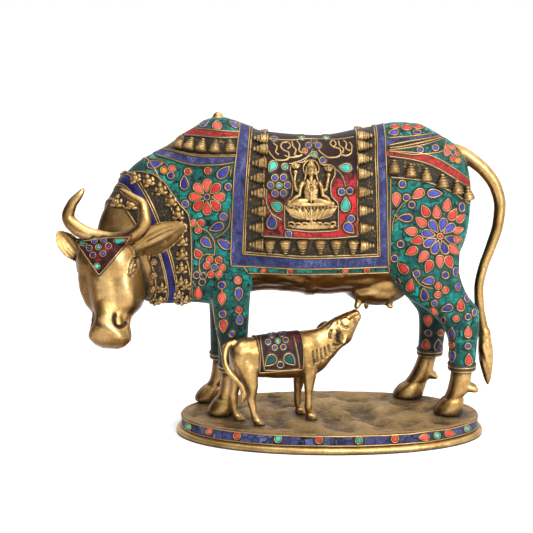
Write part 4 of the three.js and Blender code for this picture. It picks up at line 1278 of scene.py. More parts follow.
# The cow's body: trunk, legs, tail, udder, dewclaws, girth cord, and the finial on her hump
def add_tail(shape):
    rows = through(np.arange(len(TAIL)), TAIL, np.linspace(0, 15, 170))
    points = rows[:, [0, 2, 1]]
    shape.rings(sweep_rings(points, rows[:, 3] * np.interp(rows[:, 1], [70, 78], [0.66, 1]), 22))
    for k in range(8):
        spots = np.linspace(11.5, 14.9, 46)
        rows = through(np.arange(len(TAIL)), TAIL, spots)
        a = 2 * np.pi * k / 8 + 0.55 * (spots - 11.5)
        r = rows[:, 3]
        grow = np.clip((spots - 11.5) * 2.2, 0.15, 1)
        x, y = rows[:, 0] + 0.78 * r * np.cos(a), rows[:, 2] + 0.78 * r * np.sin(a)
        points = np.stack([x, y, rows[:, 1]], 1)
        shape.rings(sweep_rings(points, (0.22 * r + 0.25) * grow, 10))
    for z, r in ((90.5, 6.6), (87.5, 7.0), (84.5, 7.4)):
        x, y = 171.2 + (r - 1.3) * np.cos(circle(24)), 10 + (r - 1.3) * np.sin(circle(24))
        ring = np.stack([x, y, np.full(24, z)], 1)
        shape.rings(sweep_rings(closed(ring), 1.6, 8))


def add_belly_parts(shape):
    ball(shape, (50, 22, 139), WORLD, (37, 33, 21), 40, 24)
    ball(shape, (53, 21, 148), WORLD, (36, 34, 26), 40, 24)
    pairs = [
        ((31, 6, 127), (27, 0, 117.6)), ((40, 36, 126), (41, 38, 109)), ((60, 8, 126), (67, 5, 117)),
        ((64, 36, 126), (70, 39, 114)),
    ]
    for root, tip in pairs:
        root, tip = np.array(root, float), np.array(tip, float)
        points = [root + (tip - root) * k for k in (-0.3, 0, 0.2, 0.45, 0.7, 0.88, 1.0, 1.06)]
        shape.rings(sweep_rings(points, [5.5, 4.8, 3.9, 3.3, 3.1, 2.9, 2.0, 0.7], 14))
    for x, y, z in ((163, -6, 27), (126, 61, 24)):
        for offset in (-6, 6):
            points = [
                (x - 13, y + offset, z + 4), (x - 6, y + offset, z + 2), (x - 1, y + offset, z),
                (x, y + offset, z - 0.4),
            ]
            shape.rings(sweep_rings(points, [5, 4.4, 3, 1.2], 12))
    for at in (7.10, 7.17, 7.24):
        ring = trunk_ring(at, 0.5, 160)
        low = [p for p in ring[40:121] if p[2] < 163]
        tube(shape, resampled(low, 0.7), 1.35, 12, 1.15)


def add_finial(shape):
    top = trunk_ring(10, 0, 8)[0]
    profile = [
        (-4, 9, 0), (0.2, 8.2, 0), (1.6, 6.2, 0), (2.4, 4.2, 0), (3.0, 5.0, 0), (4.6, 5.2, 0),
        (5.6, 4.4, 0), (6.4, 2.4, 0), (7.0, 2.2, 0), (7.6, 0.4, 0),
    ]
    spin_profile(shape, (top + np.array([0, 0, -0.6]), WORLD[2], WORLD[0], WORLD[1]), profile, 24)


def carve(mesh, push):
    co = coordinates(mesh)
    normals = vertex_normals(mesh)
    set_coordinates(mesh, co + push(co, normals))


def bell_curve(value, width):
    return np.exp(-(value / width) ** 2)


def gap_to(points, spots):
    """Distance from each point to the nearest of the spots."""
    return np.min(np.linalg.norm(points[:, None, :] - spots[None], axis=2), axis=1)


def noise_at(points, scale, shift=(0, 0, 0)):
    return np.array([noise.noise(Vector(p * scale + np.array(shift, float))) for p in points])


def body_carving(co, normals):
    """Cleft hooves, a worn line above them and soft folds under the belly."""
    p = co - STANDING
    x, y, z = p.T
    move = np.zeros_like(p)
    for rows in COW_LEGS:
        level = through([-r[0] for r in rows], rows, -np.clip(z, 0, 60))
        front, back, my, half = level[:, 1:].T
        here = (z < 60) & (x > front - 6) & (x < back + 6) & (np.abs(y - my) < half + 6)
        low = np.clip((18.5 - z) / 3, 0, 1)
        middle = bell_curve(y - my, 1.5)
        forward = np.clip(((front + back) / 2 - x) / 6, 0, 1)
        behind = np.clip((x - (front + back) / 2) / 8, 0, 1)
        move[:, 0] += np.where(here, (1.7 * forward - 1.2 * behind) * middle * low, 0)
        cleft = 1.6 * bell_curve(y - my, 1.8) * np.clip((4 - z) / 4, 0, 1)
        move[:, 2] += np.where(here & (z < 6), cleft, 0)
        move += np.where(here, -0.55 * bell_curve(z - 18.7, 1.2), 0)[:, None] * normals
        move += np.where(here, -0.8 * bell_curve(z - 48.5, 1.6), 0)[:, None] * normals
    wrinkle = noise_at(p, (0.045, 0.09, 0.09)) + 0.12 * noise_at(p, (0.13, 0.2, 0.2))
    belly = (z < 165) & (z > 100) & (x > -88) & (x < 64)
    move += np.where(belly, 1.7 * wrinkle, 0)[:, None] * normals
    dent = noise_at(p, 0.22, (7, 3, 1))
    move += (0.16 * dent)[:, None] * normals
    return move


shape = make_trunk_and_legs()
add_tail(shape)
add_belly_parts(shape)
add_finial(shape)
body_mesh = remeshed("cow_body", shape, BODY_GRID, 3)
carve(body_mesh, body_carving)

outer_mesh = remeshed("outer", make_trunk_and_legs(0.75, 3), 2.0, 3)
inner_mesh = remeshed("inner", make_trunk_and_legs(-1.0, 4), 3.0, 2)
SKIN = Skin(outer_mesh)


# The head: skull, horns, ears, lids and nostrils
def middle_shift(t):
    return np.interp(t, [r[0] for r in HEAD], [r[1] for r in HEAD])


def head_shape():
    shape = Shape()
    shape.rings(head_rings())
    shape.rings(horn_rings())
    origin = head_point(0, 0, 0)
    hollow = head_point(0, 4, 10) - origin
    far_hollow = hollow + (head_point(0, 3, 0) - origin)
    shape.rings(ear_rings(head_point(13, 33, -18), head_point(-18.5, 92.5, -23), hollow, 31, 2.5))
    shape.rings(ear_rings(head_point(26, -29, -18), head_point(-9.5, -65, -27), far_hollow, 23, 1.6))
    return shape


skull = Shape()
skull.rings(head_rings())
skull_mesh = remeshed("skull", skull, 1.6, 2)
SKULL = Skin(skull_mesh)


def other_side(point):
    """The matching spot on her right, for a spot on her left."""
    t, s, n = head_local(np.asarray(point)[None] - STANDING)
    spot = head_point(t, 2 * middle_shift(t) - s, n)[0] + STANDING
    return SKULL.nearest(spot)


def head_path(pixels, mirror, step=0.8):
    """Line of the view on her left, or its match on her right."""
    path = near_path(SKULL, pixels, step)
    return [other_side(p) for p, _ in path] if mirror else path


EYE_RIM = [
    (137.8, 256.6), (138.2, 261.4), (136.8, 266.6), (133.8, 271), (130.6, 273.8), (130.8, 269),
    (132.6, 263.4), (134.8, 259.2), (137.8, 256.6),
]
EYE_BROW = [(140.4, 251.6), (136, 253), (131.6, 258.4), (128.6, 265.6), (127.6, 273.6)]
NOSTRIL = [
    (115.6, 314.8), (114.4, 317.6), (114.8, 321.4), (117, 325), (120.6, 326.6), (124.4, 325.6),
    (127, 322.4),
]


def add_eye(shape, mirror):
    for line, radius, lift in ((EYE_RIM, 0.8, 0.5), (EYE_BROW, 1.0, -0.2)):
        spots = head_path(line, mirror)
        tube(shape, [p + lift * n - STANDING for p, n in spots], radius, 10)
    spots = head_path([(135.2, 263), (133.8, 267.4)], mirror, 0.6)
    centre, normal = spots[len(spots) // 2]
    long = unit(head_point(1, 0, 0) - head_point(0, 0, 0))
    wide = unit(np.cross(normal, long))
    axes = np.array([long, wide, normal])
    ball(shape, centre - STANDING - 0.6 * normal, axes, (5.8, 3.0, 2.3), 24, 14)


def head_carving(co, normals):
    """Brow and nose ridges, eye hollows, mouth, nostrils and the lines round the lids."""
    t, s, n = head_local(co - STANDING)
    off = s - middle_shift(t)
    side = np.abs(off)
    front = np.clip((normals @ unit(head_point(0, 0, 1) - head_point(0, 0, 0)) + 0.15) / 0.5, 0, 1)
    face = (t > -4) & (n > -62) & (side < 40)
    rise = np.zeros(len(co))
    along = np.clip((t - 30) / 12, 0, 1) * np.clip((106 - t) / 8, 0, 1)
    rise += face * front * along * (2.2 * bell_curve(off, 7.5) - 2.5 * bell_curve(side - 18, 7))
    rise += face * 1.6 * bell_curve(side - 27, 6) * bell_curve(t - 58, 15) * np.clip(
        (n + 40) / 20, 0, 1,
    )
    rise += face * 1.2 * bell_curve(side - 22, 7) * bell_curve(t - 22, 9) * front
    rise += face * -1.2 * bell_curve(t - 84, 8) * np.clip((side - 6) / 8, 0, 1) * front
    rise += face * 1.4 * bell_curve(side - 11.5, 5) * bell_curve(t - 100, 6) * front
    rise += face * 1.9 * bell_curve(t - 102, 9) * np.clip((side - 10) / 7, 0, 1)
    mouth_level = -24 - 0.12 * (t - 90)
    rise -= face * 1.9 * bell_curve(
        n - mouth_level, 1.3,
    ) * np.clip((t - 84) / 6, 0, 1) * np.clip((side - 3) / 3, 0, 1)
    rise += face * 0.9 * bell_curve(n - mouth_level - 4, 2.6) * np.clip((t - 84) / 6, 0, 1)
    rough = noise_at(co, 0.11)
    pits = noise_at(co, 0.5)
    rise += 0.35 * rough + np.where(pits > 0.42, -0.9 * (pits - 0.42), 0)
    move = rise[:, None] * normals
    for mirror in (False, True):
        spots, inward = parted(head_path(NOSTRIL, mirror, 0.6))
        inward = unit(np.mean(inward, 0))
        gap = gap_to(co, spots)
        move -= (4.4 * bell_curve(gap, 1.4))[:, None] * inward
        wing = spots.mean(0) + (spots[0] + spots[-1] - 2 * spots.mean(0)) * 0.35
        wing_gap = np.linalg.norm(co - wing, axis=1)
        move += (1.7 * bell_curve(wing_gap, 5.0) * (1 - bell_curve(gap, 1.6)))[:, None] * inward
    for mirror in (False, True):
        spots, _ = parted(head_path(EYE_RIM, mirror, 1.0))
        gap = gap_to(co, spots)
        outside = np.linalg.norm(co - spots.mean(0), axis=1) > 3
        move -= (1.5 * bell_curve(gap - 2.1, 0.9) * outside)[:, None] * normals
    return move


shape = head_shape()
for mirror in (False, True):
    add_eye(shape, mirror)
head_mesh = remeshed("cow_head", shape, HEAD_GRID, 2)
carve(head_mesh, head_carving)
HEAD_SKIN = Skin(head_mesh)


# The calf
def calf_point(x, y, z):
    c, s = math.cos(CALF_TURN), math.sin(CALF_TURN)
    x, y, z = np.broadcast_arrays(*(np.asarray(part, float) * CALF_SCALE for part in (x, y, z)))
    return np.stack([x * c - y * s + CALF_PLACE[0], x * s + y * c + CALF_PLACE[1], z], -1)


def calf_local(points):
    """Length, side and height in the calf's own frame, for points of the scene."""
    points = np.atleast_2d(points) - STANDING
    c, s = math.cos(CALF_TURN), math.sin(CALF_TURN)
    x, y = points[:, 0] - CALF_PLACE[0], points[:, 1] - CALF_PLACE[1]
    return np.stack([x * c + y * s, -x * s + y * c, points[:, 2]], 1)


def calf_trunk(lift=0.0):
    keys = section_keys(CALF)
    angle = circle(56)
    rings = []
    for tx, tz, bx, bz, half, power in through(keys, CALF, np.linspace(0, keys[-1], 150)):
        out, up = rounded(angle, power)
        rise = np.array([(tx - bx) / 2, (tz - bz) / 2])
        height = np.linalg.norm(rise)
        x = (tx + bx) / 2 + up * (height + lift) / height * rise[0]
        z = (tz + bz) / 2 + up * (height + lift) / height * rise[1]
        rings.append(calf_point(x, -out * (half + lift), z))
    return rings


def calf_shape():
    shape = Shape()
    shape.rings(calf_trunk())
    angle = circle(26)
    out, up = rounded(angle, 2.1)
    for rows in CALF_LEGS:
        keys = [-r[0] for r in rows]
        rings = []
        for z, front, back, my, half in through(keys, rows, np.linspace(keys[0], keys[-1], 60)):
            x = (front + back) / 2 + up * abs(back - front) / 2
            rings.append(calf_point(x, my + out * half, np.full(26, z)))
        shape.rings(rings)
    rows = through(np.arange(len(CALF_TAIL)), CALF_TAIL, np.linspace(0, len(CALF_TAIL) - 1, 80))
    shape.rings(sweep_rings(calf_point(rows[:, 0], rows[:, 2], rows[:, 1]), rows[:, 3], 14))
    hollow = calf_point(0.3, -1, -0.1) - calf_point(0, 0, 0)
    shape.rings(ear_rings(calf_point(71.5, -9, 98), calf_point(68.5, -16.5, 82), hollow, 11.5, 1.6))
    hollow = calf_point(0.3, 1, 0.2) - calf_point(0, 0, 0)
    shape.rings(ear_rings(calf_point(68, 8, 99), calf_point(51, 20, 93.5), hollow, 12, 1.4))
    return shape


calf_base = remeshed("calf_base", calf_shape(), 1.2, 1)
CALF_BASE = Skin(calf_base)


def add_calf_face(shape):
    """Eye, lids, cheek folds and neck wrinkles as raised lines, on both sides."""
    rows = [
        (
            [
                (343.4, 323), (345, 321.6), (347.2, 321.8), (348, 323.4), (346.4, 324.8),
                (344.6, 324.6), (343.4, 323),
            ],
            0.5, 0.1,
        ),
        ([(340.4, 321), (343.6, 318.8), (348, 319)], 0.7, -0.1),
        ([(334, 322), (331, 327), (327.6, 330)], 1.0, -0.2),
        ([(352, 328), (355, 324.4), (357.6, 321)], 0.6, -0.1),
    ]
    for pixels, radius, lift in rows:
        spots = near_path(CALF_BASE, pixels, 0.6)
        tube(shape, [p + lift * n - STANDING for p, n in spots], radius, 8)
        mirrored = []
        for p, _ in spots:
            x, y, z = calf_local(p)[0]
            found = CALF_BASE.nearest(calf_point(x, -y, z) + STANDING)
            mirrored.append(found[0] + lift * found[1] - STANDING)
        tube(shape, mirrored, radius, 8)


CALF_SLITS = [
    [(313.4, 352), (313.6, 357), (315, 363)], [(317.4, 350.6), (317.4, 356), (318.4, 361.6)],
    [(321.2, 349.4), (321.4, 354.6), (322.2, 359.4)],
    [(325, 348), (325.4, 352), (326.4, 356.4)], [(328.6, 346), (329.2, 349), (330.4, 352.6)],
    [(349.8, 318.6), (353, 316.4), (357, 314.6), (360, 314.4)],
    [(337.4, 330.6), (338.6, 335.6), (338.2, 340.6)],
    [(331, 330.6), (329.6, 334), (330.4, 338)], [(334, 344.6), (338, 346), (342, 343.6)],
    [(341, 324.4), (344, 327), (348.4, 327.4)],
]


def calf_carving(co, normals):
    """Slits in the dewlap and the mouth, hoof clefts and a soft unevenness."""
    local = calf_local(co)
    mirrored = local * (1, -1, 1)
    move = np.zeros_like(co)
    for slit in CALF_SLITS:
        line = calf_local(np.array([p for p, _ in near_path(CALF_BASE, slit, 0.7)]))
        for side in (local, mirrored):
            move -= (1.7 * bell_curve(gap_to(side, line), 1.15))[:, None] * normals
    x, y, z = local.T
    for rows in CALF_LEGS:
        fx, bx, my = rows[-1][1:4]
        here = (z < 9) & (np.abs(y - my) < 8) & (x > min(fx, bx) - 3) & (x < max(fx, bx) + 3)
        move -= np.where(
            here, 0.9 * bell_curve(y - my, 0.9) * np.clip((7 - z) / 3, 0, 1), 0,
        )[:, None] * normals
        move -= np.where(here, 0.5 * bell_curve(z - 7.2, 0.8), 0)[:, None] * normals
    dent = noise_at(co, 0.2)
    pitted = noise_at(co, 0.42) * np.clip((x - 52) / 8, 0, 1) * np.clip((88 - x) / 6, 0, 1)
    muscle = noise_at(co, 0.07)
    return move + (0.3 * dent + 0.38 * pitted + 0.8 * muscle)[:, None] * normals


shape = calf_shape()
add_calf_face(shape)
calf_mesh = remeshed("calf", shape, CALF_GRID, 2)
carve(calf_mesh, calf_carving)

finish_piece("cow_body", body_mesh, POLISHED, ("cow",), BODY_SHARE)
finish_piece("cow_head", head_mesh, POLISHED, (), HEAD_SHARE)
finish_piece("calf", calf_mesh, CALF_BRASS, ("calf",), CALF_SHARE)


# Saddle cloth, cut from skins of the trunk alone
def trunk_mesh(first, last, lift, count=150, sides=120):
    shape = Shape()
    shape.rings([trunk_ring(at, lift, sides) for at in np.linspace(first, last, count)])
    return shape.mesh("trunk_skin")


ABOVE_ALL = 420.0


def outline_of(pixels):
    return flank_outline(SKIN, pixels)


CLOTH_LEFT = [
    (239.8, 124), (239.8, 127.8), (236.8, 150), (234, 174.5), (232.2, 215), (230.7, 257.8),
    (231.5, 265.8),
]
CLOTH_RIGHT = [
    (384, 122), (384, 127.8), (385.5, 150), (386.5, 174.5), (387.4, 215), (388, 257.8), (388.2, 266.8),
]
FRAME_LEFT = [(249.8, 126), (249.8, 128.7), (247.4, 160), (245.3, 191.2), (243.8, 222), (242.8, 253.8)]
FRAME_RIGHT = [(376, 124), (376, 127.8), (377.2, 160), (378.2, 191.2), (379, 222), (379.8, 256.2)]
FRAME_LOW = [(242.8, 253.8), (274, 256.2), (307.3, 258.6), (340.7, 257.8), (379.8, 256.2)]
CLOTH_LOW = [(231.5, 265.8), (247.3, 266.4), (307.3, 269.0), (345, 268.4), (388.2, 266.8)]
HEM_LOW = [(248.2, 273), (307.3, 274.2), (345, 273.8), (389, 272.4)]
FIELD_LEFT = [(265.6, 130), (265, 137), (263.2, 191.2), (262, 236)]
FIELD_RIGHT = [(356.3, 128), (356.5, 134.5), (357.3, 191.2), (357.8, 236.2)]
FIELD_LOW = [(262, 236), (290.7, 237.8), (324, 238.7), (357.8, 236.2)]
NICHE = [
    (285, 229), (284.4, 216), (284.6, 206), (287.6, 200.5), (291.4, 196), (292.6, 187), (292.2, 178),
    (290.2, 170), (291.6, 164.6), (296.4, 162.2), (301, 162.6), (304.4, 161.6), (306.6, 158),
    (310.6, 155.8), (315.6, 156.4), (319, 160), (320.6, 164.2), (325, 164.6), (331, 165.6),
    (335, 169.4), (334.8, 175), (332.2, 180), (330.6, 186), (331, 195), (334.4, 199.6), (337.8, 203.4),
    (338.4, 214), (338.2, 229.6), (325, 231.4), (312, 231.8), (298, 230.6),
]


def flank_band(left, right, low):
    """Polygon between two edges down to a low line, in length and height, closed above the back."""
    left, right, low = outline_of(left), outline_of(right), outline_of(low)
    top = [(right[0][0], ABOVE_ALL), (left[0][0], ABOVE_ALL)]
    return left[:-1] + low + right[-2::-1] + top


CLOTH_SPAN = (4.9, 10.4)
cloth_cut = flank_band(CLOTH_LEFT, CLOTH_RIGHT, CLOTH_LOW)
frame_hole = flank_band(FRAME_LEFT, FRAME_RIGHT, FRAME_LOW)
field_cut = flank_band(FIELD_LEFT, FIELD_RIGHT, FIELD_LOW)
niche_cut = outline_of(NICHE)
hem_cut = outline_of([(243.6, 266.2)] + HEM_LOW + [(389.4, 266.9), (345, 268.5), (307.3, 269.1)])

base_top = trunk_mesh(*CLOTH_SPAN, CLOTH_GROUND_LIFT)
cloth_top = trunk_mesh(*CLOTH_SPAN, CLOTH_LIFT)
cloth_under = trunk_mesh(4.0, 11.2, -0.8, 60, 60)
panel("cloth_ground", base_top, cloth_under, [cloth_cut], (), DARK_BRASS)
panel(
    "lapis_frame", cloth_top, cloth_under, [cloth_cut], [frame_hole], LAPIS, ("cloth_frame",),
)
panel(
    "cloth_hems", cloth_top, cloth_under, [hem_cut], (), TURQUOISE,
    ("cloth_hem_near", "cloth_hem_far"),
)
panel("coral_field", cloth_top, cloth_under, [field_cut], [niche_cut], FIELD, ("cloth_field",))
CLOTH = Skin(cloth_top)
GROUND_SKIN = Skin(base_top)

# Shoulder, hump and neck
NECK_EDGE = [
    (127.5, 173.3), (138.3, 171.7), (150, 173.3), (163.3, 181.7), (171.7, 193.3), (180, 205),
    (188.3, 215), (190.8, 231.7), (191.7, 265), (190.8, 288.3), (189.2, 299),
]
LAPIS_TOP = [
    (157, 144), (162.5, 149), (176.7, 151.8), (191.7, 155.2), (205, 156.7), (221, 156.6), (237, 156.2),
]
LAPIS_LOW = [
    (146, 150), (155.8, 154.4), (171.7, 159.2), (185, 163.2), (198.3, 165.2), (218.3, 164.8),
    (236, 162),
]
CORAL_TOP = [(180, 122), (195, 128.3), (205, 129.3), (222, 130.8), (240.5, 132)]
CORAL_LOW = [(176, 130), (184.8, 135), (198.5, 135.9), (221.8, 137.6), (239, 137.2)]
HAIR = 0.6
edge_front = outline_of(CLOTH_LEFT)
edge_back = outline_of(CLOTH_RIGHT)
z_hem = edge_front[-1][1]


def beside_front(z):
    """Spot a hair in front of the cloth's front edge at a height."""
    return float(np.interp(z, *edge_rows(edge_front))) - HAIR, z


def beside_back(z):
    return float(np.interp(z, *edge_rows(edge_back))) + HAIR, z


def edge_rows(edge):
    return [z for _, z in edge[::-1]], [x for x, _ in edge[::-1]]


def line_to_cloth(pixels, behind=False):
    """A line of the view in length and height, ended a hair from the cloth."""
    line = outline_of(pixels)
    if behind:
        line[0] = beside_back(line[0][1])
    else:
        line[-1] = beside_front(line[-1][1])
    return line


def between(upper, lower, behind=False):
    """Polygon between two lines that end at the cloth."""
    return line_to_cloth(upper, behind) + line_to_cloth(lower, behind)[::-1]


ANKLE = 54 + STANDING[2]
neck_edge = outline_of(NECK_EDGE)
edge_top = neck_edge[0]
edge_foot = neck_edge[-1]
lapis_low = outline_of(LAPIS_LOW)
front_line = [beside_front(z) for z in np.linspace(lapis_low[-1][1], z_hem, 8)]
fore_cut = (
    neck_edge
    + [(edge_foot[0] + 1, 118 + STANDING[2]), (-172, 100 + STANDING[2]), (-172, ANKLE), (-84, ANKLE)]
    + [(-86.4, z_hem - 0.4), (beside_front(z_hem)[0], z_hem - 0.4)]
    + front_line[::-1]
    + lapis_low[-2::-1]
    + [(edge_top[0] + 6, edge_top[1] + 40), (edge_top[0] - 8, edge_top[1] + 12)]
)
panel(
    "fore_turquoise", outer_mesh, inner_mesh, [fore_cut], (), TURQUOISE, ("fore_inlay",),
    share=INLAY_SHARE,
)
HUMP_SPAN = (8.5, 12.9)
hump_top = trunk_mesh(*HUMP_SPAN, GROUND_LIFT, 110)
hump_high = trunk_mesh(*HUMP_SPAN, PANEL_LIFT, 110)
hump_under = trunk_mesh(7.8, 13.6, -0.9, 70, 70)
panel("shoulder_lapis", hump_high, hump_under, [between(LAPIS_TOP, LAPIS_LOW)], (), LAPIS)
panel("shoulder_ground", hump_top, hump_under, [between(CORAL_LOW, LAPIS_TOP)], (), DARK_BRASS)
panel("shoulder_coral", hump_high, hump_under, [between(CORAL_TOP, CORAL_LOW)], (), RED_BAND)
cap = line_to_cloth(CORAL_TOP)
panel(
    "hump_cap", hump_high, hump_under, [cap + [(cap[-1][0], ABOVE_ALL), (cap[0][0], ABOVE_ALL)]], (),
    TURQUOISE,
)
HUMP = Skin(hump_high)

# Rump and hind legs
RUMP_LAPIS_TOP = [(384, 138.6), (388.8, 137.9), (410.5, 136.2), (433.8, 133.6), (440, 130)]
RUMP_LAPIS_LOW = [(384, 146.4), (388.8, 145.4), (413.8, 140.4), (430, 138), (439.5, 136.4), (446, 133)]
WEDGE_TOP = [
    (384, 151), (388.8, 150.2), (402.2, 148.5), (418.8, 145.8), (432, 142.4), (444, 138.4), (450, 134),
]
RUMP_CORAL_TOP = [
    (384, 150.8), (388.8, 151.2), (408, 152.2), (425.5, 154.2), (438, 158.6), (448.8, 164.8),
    (459, 171.6), (467.4, 178), (474, 184),
]
RUMP_CORAL_LOW = [
    (384, 155.8), (388.8, 156.4), (408, 158.8), (425.5, 163), (438, 168.4), (448.8, 174.8), (459, 181),
    (468.2, 187.2), (474, 192),
]
HIND_TOP = [
    (384, 176.6), (390.5, 177.2), (410.5, 178.8), (424, 181.2), (435.5, 184.8), (452.2, 192),
    (468.2, 203), (475, 208),
]
RUMP_SPAN = (0.35, 6.4)
rump_top = trunk_mesh(*RUMP_SPAN, GROUND_LIFT, 130)
rump_high = trunk_mesh(*RUMP_SPAN, PANEL_LIFT, 130)
rump_under = trunk_mesh(0.0, 7.2, -0.9, 80, 70)
RUMP = Skin(rump_high)
hind_top = line_to_cloth(HIND_TOP, True)
back_line = [beside_back(z) for z in np.linspace(hind_top[0][1], z_hem, 8)][1:]
thigh = outline_of([(390, 270.6), (393, 281), (399.5, 289.4)])
hind_cut = (
    hind_top
    + [
        (175, hind_top[-1][1] - 6), (175, 200), (170, 150), (176, 140), (176, ANKLE), (52, ANKLE),
        (52, 136), (66, 150),
    ]
    + thigh[::-1]
    + back_line[::-1]
)
panel(
    "hind_turquoise", outer_mesh, inner_mesh, [hind_cut], (), TURQUOISE, ("hind_inlay",),
    share=INLAY_SHARE,
)
panel(
    "rump_lapis", rump_high, rump_under, [between(RUMP_LAPIS_TOP, RUMP_LAPIS_LOW, True)], (),
    LAPIS_CHIPS,
)
panel(
    "rump_relief_ground", rump_top, rump_under, [between(RUMP_LAPIS_LOW, WEDGE_TOP, True)], (),
    DARK_BRASS,
)
wedge = line_to_cloth(WEDGE_TOP, True)
wedge_low = line_to_cloth(RUMP_CORAL_TOP, True)
wedge_low[0] = (wedge_low[0][0], wedge_low[0][1] - 0.4)
panel(
    "rump_wedge", rump_high, rump_under, [wedge + [(175, 330)] + wedge_low[::-1]], (), TURQUOISE,
)
panel(
    "rump_coral", rump_high, rump_under, [between(RUMP_CORAL_TOP, RUMP_CORAL_LOW, True)], (), RED_BAND,
)
panel(
    "rump_bell_ground", rump_top, rump_under, [between(RUMP_CORAL_LOW, HIND_TOP, True)], (), DARK_BRASS,
)
rump_cap = line_to_cloth(RUMP_LAPIS_TOP, True)
panel(
    "rump_cap", rump_high, rump_under,
    [rump_cap + [(rump_cap[-1][0] + 10, ABOVE_ALL), (rump_cap[0][0], ABOVE_ALL)]], (), TURQUOISE,
)

# Ground of the neck bands
neck_top = trunk_mesh(11.3, 14.95, 0.35, 90, 120)
neck_under = trunk_mesh(11.0, 15.4, -1.2, 70, 70)
neck_cut = [(x - 0.4, z) for x, z in neck_edge] + [
    (edge_foot[0], 60), (-330, 60), (-330, ABOVE_ALL), (edge_top[0] + 30, ABOVE_ALL),
    (edge_top[0] + 3, edge_top[1] + 22),
]
panel("neck_ground", neck_top, neck_under, [neck_cut], (), DARK_BRASS)
NECK = Skin(neck_top)


# Neck bands, brow plate and the calf's cloth
def ribbon(shape, first, last, low, high, sides=150):
    """Band round the trunk between two of its stations."""
    angles = circle(sides)
    rows = ((first, low), (first, high), ((first + last) / 2, high + 0.1), (last, high), (last, low))
    corners = [trunk_ring(at, lift, angles=angles) for at, lift in rows]
    shape.loop(np.stack(corners, 1))


shape = Shape()
ribbon(shape, 13.68, 14.0, -0.8, 1.3)
finish_piece("neck_lapis", shape.mesh("neck_lapis"), LAPIS_DARK, ("neck_band",))


def patch(name, skin, corners, lift, depth, steps, material, stands_for=()):
    """Three-cornered sheet laid on a skin, its corners spots of the view."""
    a, b, c = (np.array(p, float) for p in corners)
    top, under, index = [], [], {}
    for i in range(steps + 1):
        for j in range(steps + 1 - i):
            u, v = a + (b - a) * i / steps + (c - a) * j / steps
            point, normal = seen(skin, u, v)
            index[i, j] = len(top)
            top.append(point + lift * normal)
            under.append(point - depth * normal)
    n = len(top)
    faces = []
    for i in range(steps):
        for j in range(steps - i):
            p, q, r = index[i, j], index[i + 1, j], index[i, j + 1]
            faces += [(p, q, r), (n + r, n + q, n + p)]
            if j < steps - i - 1:
                s = index[i + 1, j + 1]
                faces += [(q, s, r), (n + r, n + s, n + q)]
    rim = [index[i, 0] for i in range(steps)]
    rim += [index[steps - j, j] for j in range(steps)]
    rim += [index[0, j] for j in range(steps, 0, -1)]
    for p, q in zip(rim, rim[1:] + rim[:1]):
        faces.append((q, p, n + p, n + q))
    shape = Shape().add(np.array(top + under), faces)
    laid_piece(name, shape, material, stands_for, 50)


BROW = [(74.5, 240), (132.5, 235.4), (99, 277)]
patch("brow_plate", HEAD_SKIN, BROW, 0.7, 1.0, 34, MAROON, ("brow_plate",))


def calf_skin(lift, first=0.0, last=1.0):
    shape = Shape()
    rings = calf_trunk(lift)
    shape.rings(rings[int(first * len(rings)):int(last * len(rings))])
    return shape.mesh("calf_skin")


calf_top = calf_skin(0.9, 0.14, 0.5)
CALF_CLOTH = Skin(calf_top)
CALF_EDGE = [
    (257.6, 333.2), (279, 334), (300.6, 333.4), (301.2, 352), (301.2, 371), (280, 372.2),
    (262.6, 371.8), (259.4, 352),
]


def calf_outline():
    """The cloth's edge in the calf's own length and height."""
    local = [calf_local(seen(CALF_CLOTH, u, v)[0])[0] for u, v in CALF_EDGE]
    return [(x, z) for x, _, z in local]


calf_edge = calf_outline()
front = max(x for x, _ in calf_edge[2:5])
back = min(x for x, _ in calf_edge[-2:] + calf_edge[:1])
low = np.mean([z for _, z in calf_edge[4:7]])
calf_block = [
    (back + 1.5, low), (back, low + 20), (back - 0.5, 130), (front, 130), (front, low + 20),
    (front, low),
]


def calf_prism(outline):
    near, far = ([calf_point(x, y, z) + STANDING for x, z in outline] for y in (-30, 30))
    return block_between(near, far)


def cut_calf_cloth():
    work = link("calf_cloth", calf_top.copy())
    blocks = [
        ("DIFFERENCE", link("core", calf_skin(-0.6, 0.1, 0.55))),
        ("INTERSECT", link("block", calf_prism(calf_block))),
    ]
    mesh = cut_by(work, blocks, "calf_cloth")
    finish_piece("calf_cloth", mesh, MAROON, ("calf_cloth",), smooth_angle=40)


cut_calf_cloth()


# Plinth
def oval(offset, angle, z):
    c, s = np.cos(angle), np.sin(angle)
    x = (OVAL[0] + offset) * np.sign(c) * np.abs(c) ** (2 / OVAL[2])
    y = (OVAL[1] + offset) * np.sign(s) * np.abs(s) ** (2 / OVAL[2])
    return np.stack([x, y, np.broadcast_to(z, x.shape)], 1)


# Level spots under the feet: length, side and radius
FEET = [((rows[-1][1] + rows[-1][2]) / 2, rows[-1][3], 17) for rows in COW_LEGS]
for rows in CALF_LEGS:
    place = calf_point((rows[-1][1] + rows[-1][2]) / 2, rows[-1][3], 0)
    FEET.append((place[0], place[1], 7))


def mounds(x, y):
    """Height of the beaten ground: soft mounds and hollows, level under the feet."""
    high = 7.5 * noise.noise(Vector((x * 0.036, y * 0.034, 0.3))) - 1.2
    high += 3.0 * noise.noise(Vector((x * 0.08, y * 0.07, 4.0)))
    high += 0.5 * noise.noise(Vector((x * 0.3, y * 0.4, 9.0)))
    high = min(high, 0.9 + 0.35 * (high - 0.9)) if high > 0.9 else high
    for fx, fy, r in FEET:
        share = min(max((math.hypot(x - fx, y - fy) - r) / 11, 0), 1)
        high = share * high + (1 - share) * 0.5
    return high


